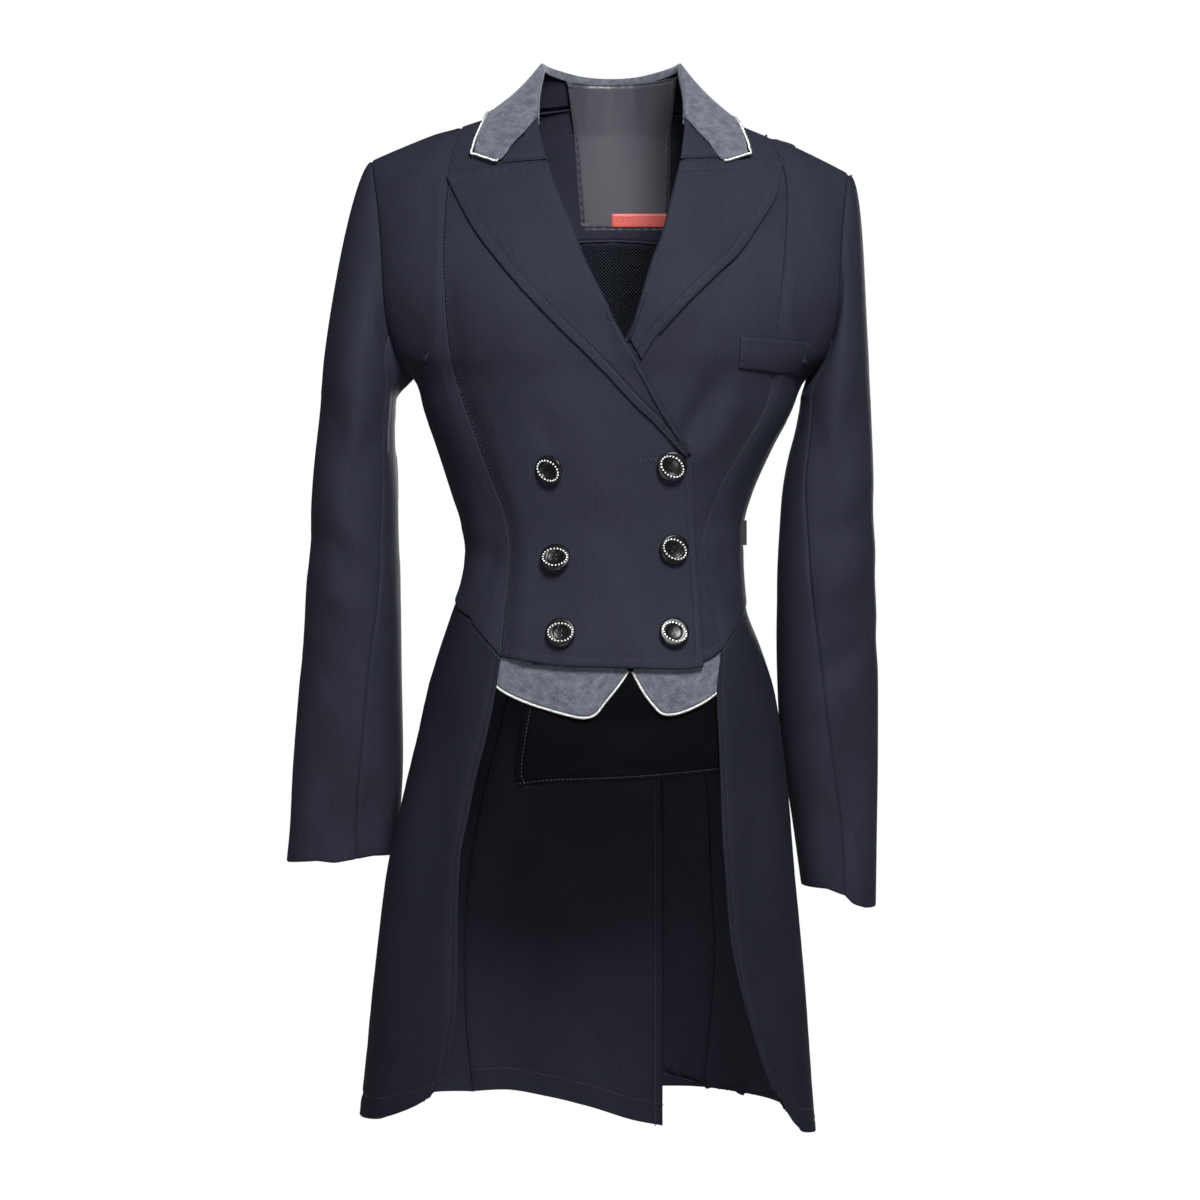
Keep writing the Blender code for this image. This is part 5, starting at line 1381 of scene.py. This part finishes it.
def button(number):
    centre, across, up, out = button_frame(number)
    vertices, faces = turned([(r * BUTTON_RADIUS, h) for r, h in BUTTON_PROFILE], 48)
    pit, pit_faces = turned(HOLE_PROFILE, 12)
    for x, y in ((-HOLE_OUT, -HOLE_OUT), (-HOLE_OUT, HOLE_OUT), (HOLE_OUT, -HOLE_OUT), (HOLE_OUT, HOLE_OUT)):
        faces += [tuple(len(vertices) + k for k in face) for face in pit_faces]
        vertices += [(px + x, py + y, pz) for px, py, pz in pit]
    local = np.array(vertices)
    world = centre + local[:, :1] * across + local[:, 1:2] * up + local[:, 2:] * out
    piece = face_outward(piece_from(f"resin_button_{number}", world, faces, resin))
    piece.data.set_sharp_from_angle(angle=math.radians(50))
    trim(piece, f"button_{number}")
    ring = 2 * math.pi * np.arange(CRYSTALS) / CRYSTALS
    seats = (centre + out * SEAT_HEIGHT + across * (RING_ACROSS * np.cos(ring))[:, None]
             + up * (RING_DOWN * np.sin(ring))[:, None])
    trim(gem_ring(f"crystals_{number}", seats, out))


def new_tree(name, *inputs):
    """Geometry node group with named inputs, with its input node and its inputs' identifiers."""
    tree = bpy.data.node_groups.new(name, "GeometryNodeTree")
    tree.is_modifier = True
    identifiers = {}
    for label, kind, value in (("Geometry", "Geometry", None), *inputs):
        socket = tree.interface.new_socket(label, in_out="INPUT", socket_type="NodeSocket" + kind)
        if value is not None:
            socket.default_value = value
        identifiers[label] = socket.identifier
    tree.interface.new_socket("Geometry", in_out="OUTPUT", socket_type="NodeSocketGeometry")
    return tree, add_node(tree, "NodeGroupInput"), identifiers


def place_copies(tree, points, shape, facing, size, finish, smooth=False):
    """Ends a tree with a real copy of a shape on each point, turned and sized."""
    turn = add_node(tree, "FunctionNodeAlignRotationToVector", {"Vector": facing}, axis="Z")
    scale = add_node(tree, "ShaderNodeCombineXYZ", dict(enumerate(size)))
    placed = add_node(tree, "GeometryNodeInstanceOnPoints", {
        "Points": points, "Instance": shape, "Rotation": turn.outputs["Rotation"], "Scale": scale.outputs["Vector"]})
    real = add_node(tree, "GeometryNodeRealizeInstances", {"Geometry": placed.outputs["Instances"]})
    if smooth:
        real = add_node(tree, "GeometryNodeSetShadeSmooth", {"Geometry": real.outputs["Geometry"]})
    finished = add_node(tree, "GeometryNodeSetMaterial", {"Geometry": real.outputs["Geometry"], "Material": finish})
    add_node(tree, "NodeGroupOutput", {"Geometry": finished.outputs["Geometry"]})


def as_plain_mesh(source, name, tree, values):
    """Runs a node tree on an object and keeps the result as a plain mesh."""
    modifier = source.modifiers.new("nodes", "NODES")
    modifier.node_group = tree
    for identifier, value in values.items():
        modifier[identifier] = value
    graph = bpy.context.evaluated_depsgraph_get()
    mesh = bpy.data.meshes.new_from_object(source.evaluated_get(graph), depsgraph=graph)
    mesh.name = name
    bpy.data.objects.remove(source)
    result = bpy.data.objects.new(name, mesh)
    collection.objects.link(result)
    return result


def crystal_tree():
    """One faceted stone on each point of a mesh, facing out of the button."""
    tree, start, identifiers = new_tree("crystal ring", ("Stone radius", "Float", CRYSTAL_RADIUS * MM),
                                        ("Facing", "Vector", None))
    stone = add_node(tree, "GeometryNodeMeshCone", {
        "Vertices": 8, "Side Segments": 1, "Radius Top": 0.55, "Radius Bottom": 1.0, "Depth": 0.8})
    place_copies(tree, start.outputs["Geometry"], stone.outputs["Mesh"], start.outputs["Facing"],
                 [start.outputs["Stone radius"]] * 3, crystal)
    return tree, identifiers


def stitch_tree():
    """Thread grains laid end to end along curves."""
    tree, start, identifiers = new_tree(
        "topstitching", ("Stitch length", "Float", 2.6 * MM), ("Gap", "Float", 0.7 * MM),
        ("Thread radius", "Float", 0.3 * MM), ("Thread", "Material", None))
    length, radius = start.outputs["Stitch length"], start.outputs["Thread radius"]
    pitch = add_node(tree, "ShaderNodeMath", {0: length, 1: start.outputs["Gap"]}, operation="ADD")
    spaced = add_node(tree, "GeometryNodeResampleCurve", {"Curve": start.outputs["Geometry"],
                                                          "Length": pitch.outputs[0]}, mode="LENGTH")
    points = add_node(tree, "GeometryNodeCurveToPoints", {"Curve": spaced.outputs["Curve"]}, mode="EVALUATED")
    grain = add_node(tree, "GeometryNodeMeshUVSphere", {"Segments": 6, "Rings": 4, "Radius": 1.0})
    half = add_node(tree, "ShaderNodeMath", {0: length, 1: 0.5}, operation="MULTIPLY")
    place_copies(tree, points.outputs["Points"], grain.outputs["Mesh"], points.outputs["Tangent"],
                 (radius, radius, half.outputs[0]), start.outputs["Thread"], True)
    return tree, identifiers


def gem_ring(name, seats, out):
    mesh = bpy.data.meshes.new(name)
    mesh.from_pydata((seats * MM).tolist(), [], [])
    source = bpy.data.objects.new(name + "_seats", mesh)
    collection.objects.link(source)
    tree, sockets = crystal_nodes
    return as_plain_mesh(source, name, tree, {sockets["Facing"]: tuple(map(float, out))})


def sew(name, lines, finish, radius=0.3):
    """Topstitching along lines, as one mesh of thread grains."""
    curve = bpy.data.curves.new(name, "CURVE")
    curve.dimensions = "3D"
    for line in lines:
        if len(line) < 2:
            continue
        spline = curve.splines.new("POLY")
        spline.points.add(len(line) - 1)
        spline.points.foreach_set("co", np.concatenate([line * MM, np.ones((len(line), 1))], axis=1).ravel())
    source = bpy.data.objects.new(name + "_lines", curve)
    collection.objects.link(source)
    tree, sockets = stitch_nodes
    trim(as_plain_mesh(source, name, tree, {sockets["Thread"]: finish, sockets["Thread radius"]: radius * MM}))


crystal_nodes = crystal_tree()
stitch_nodes = stitch_tree()

for coat_side in ("right", "left"):
    front_panel(coat_side)
    side_front_panel(coat_side)
    side_back_panel(coat_side)
    back_panel(coat_side)
    tail_front(coat_side)
    tail_back(coat_side)
    sleeve(coat_side)
    lapel(coat_side)
    collar_base(coat_side)
    vest_point(coat_side)
collar()
underlap_flap()
breast_welt()
back_inside()
for button_number in range(1, len(BUTTONS) + 1):
    button(button_number)
for start_x, end_x, middle in BUTTONHOLES:
    for rise in (-0.8, 0.8):
        run = np.stack([np.linspace(start_x, end_x, 8), np.full(8, middle + rise)], axis=-1)
        stitch_lines.append(on_body(spots(run), np.full(8, FRONT_LAP + 0.3)))
sew("topstitching", stitch_lines, thread)
sew("suede_topstitching", suede_stitches, suede_thread, 0.22)

side_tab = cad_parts["side_tab"]
side_tab.data.materials.clear()
side_tab.data.materials.append(tab_satin())


# ---------------------------------------------------------------- stage, light and camera

def stage_floor():
    bpy.ops.mesh.primitive_plane_add(size=3.6, location=(0, 0, -1.25))
    floor = bpy.context.object
    floor.name = "studio_floor"
    finish, tree, shader = new_finish("white studio floor", "#f4f4f4", Roughness=0.9)
    place = add_node(tree, "ShaderNodeTexCoord").outputs["Object"]
    cloud = add_node(tree, "ShaderNodeTexNoise", {"Vector": place, "Scale": 1.5}).outputs["Fac"]
    tree.links.new(tone(tree, cloud, "#f3f3f3", "#f8f8f8"), shader.inputs["Base Color"])
    floor.data.materials.append(finish)


ROOM_GLOW, PAPER_GLOW = 0.08, 0.17    # what lights the coat from the front and from behind
KEY_WATTS, FILL_WATTS, BACK_WATTS, LOW_WATTS = 18, 5.5, 90, 1.3


def soft_light(name, place, size, watts, spread=180, target=(0, 0, -0.2)):
    data = bpy.data.lights.new(name, "AREA")
    data.shape = "RECTANGLE"
    data.size, data.size_y = size
    data.energy = watts
    data.spread = math.radians(spread)
    lamp = bpy.data.objects.new(name, data)
    lamp.location = place
    lamp.visible_camera = False
    lamp.rotation_euler = (Vector(target) - Vector(place)).to_track_quat("-Z", "Y").to_euler()
    collection.objects.link(lamp)


def light_studio():
    world = bpy.data.worlds.new("white studio")
    world.use_nodes = True
    tree = world.node_tree
    paper = tree.nodes["Background"]
    paper.inputs["Color"].default_value = (1, 1, 1, 1)
    # the white paper behind the coat is far brighter than the dark room in front of it
    direction = add_node(tree, "ShaderNodeTexCoord").outputs["Generated"]
    axes = add_node(tree, "ShaderNodeSeparateXYZ", {"Vector": direction})
    glow = add_node(tree, "ShaderNodeMapRange", {"Value": axes.outputs["Y"], "From Min": -0.6, "From Max": 0.6,
                                                 "To Min": ROOM_GLOW, "To Max": PAPER_GLOW}).outputs["Result"]
    seen = add_node(tree, "ShaderNodeLightPath").outputs["Is Camera Ray"]
    strength = add_node(tree, "ShaderNodeMapRange", {"Value": seen, "To Min": glow, "To Max": 1.0}).outputs["Result"]
    tree.links.new(strength, paper.inputs["Strength"])
    bpy.context.scene.world = world
    soft_light("key softbox", (0.4, -1.8, 1.0), (0.8, 0.8), KEY_WATTS, 75)
    soft_light("fill softbox", (-1.9, -2.0, 0.3), (1.4, 1.4), FILL_WATTS)
    soft_light("back softbox", (0.5, 2.6, 0.2), (1.4, 1.4), BACK_WATTS)
    soft_light("low softbox", (-0.1, -2.0, -0.95), (0.6, 0.6), LOW_WATTS, 50, (-0.03, 0.12, -0.7))


def place_camera():
    data = bpy.data.cameras.new("photo camera")
    data.sensor_width = SENSOR
    data.lens = SENSOR * VIEW_DISTANCE / (1200 * PIXEL)
    camera = bpy.data.objects.new("photo camera", data)
    camera.location = (VIEW_MIDDLE[0] * MM, -VIEW_DISTANCE * MM, VIEW_MIDDLE[1] * MM)
    camera.rotation_euler = (math.radians(90), 0, 0)
    collection.objects.link(camera)
    bpy.context.scene.camera = camera


stage_floor()
light_studio()
place_camera()
bpy.context.scene.view_settings.view_transform = "Standard"
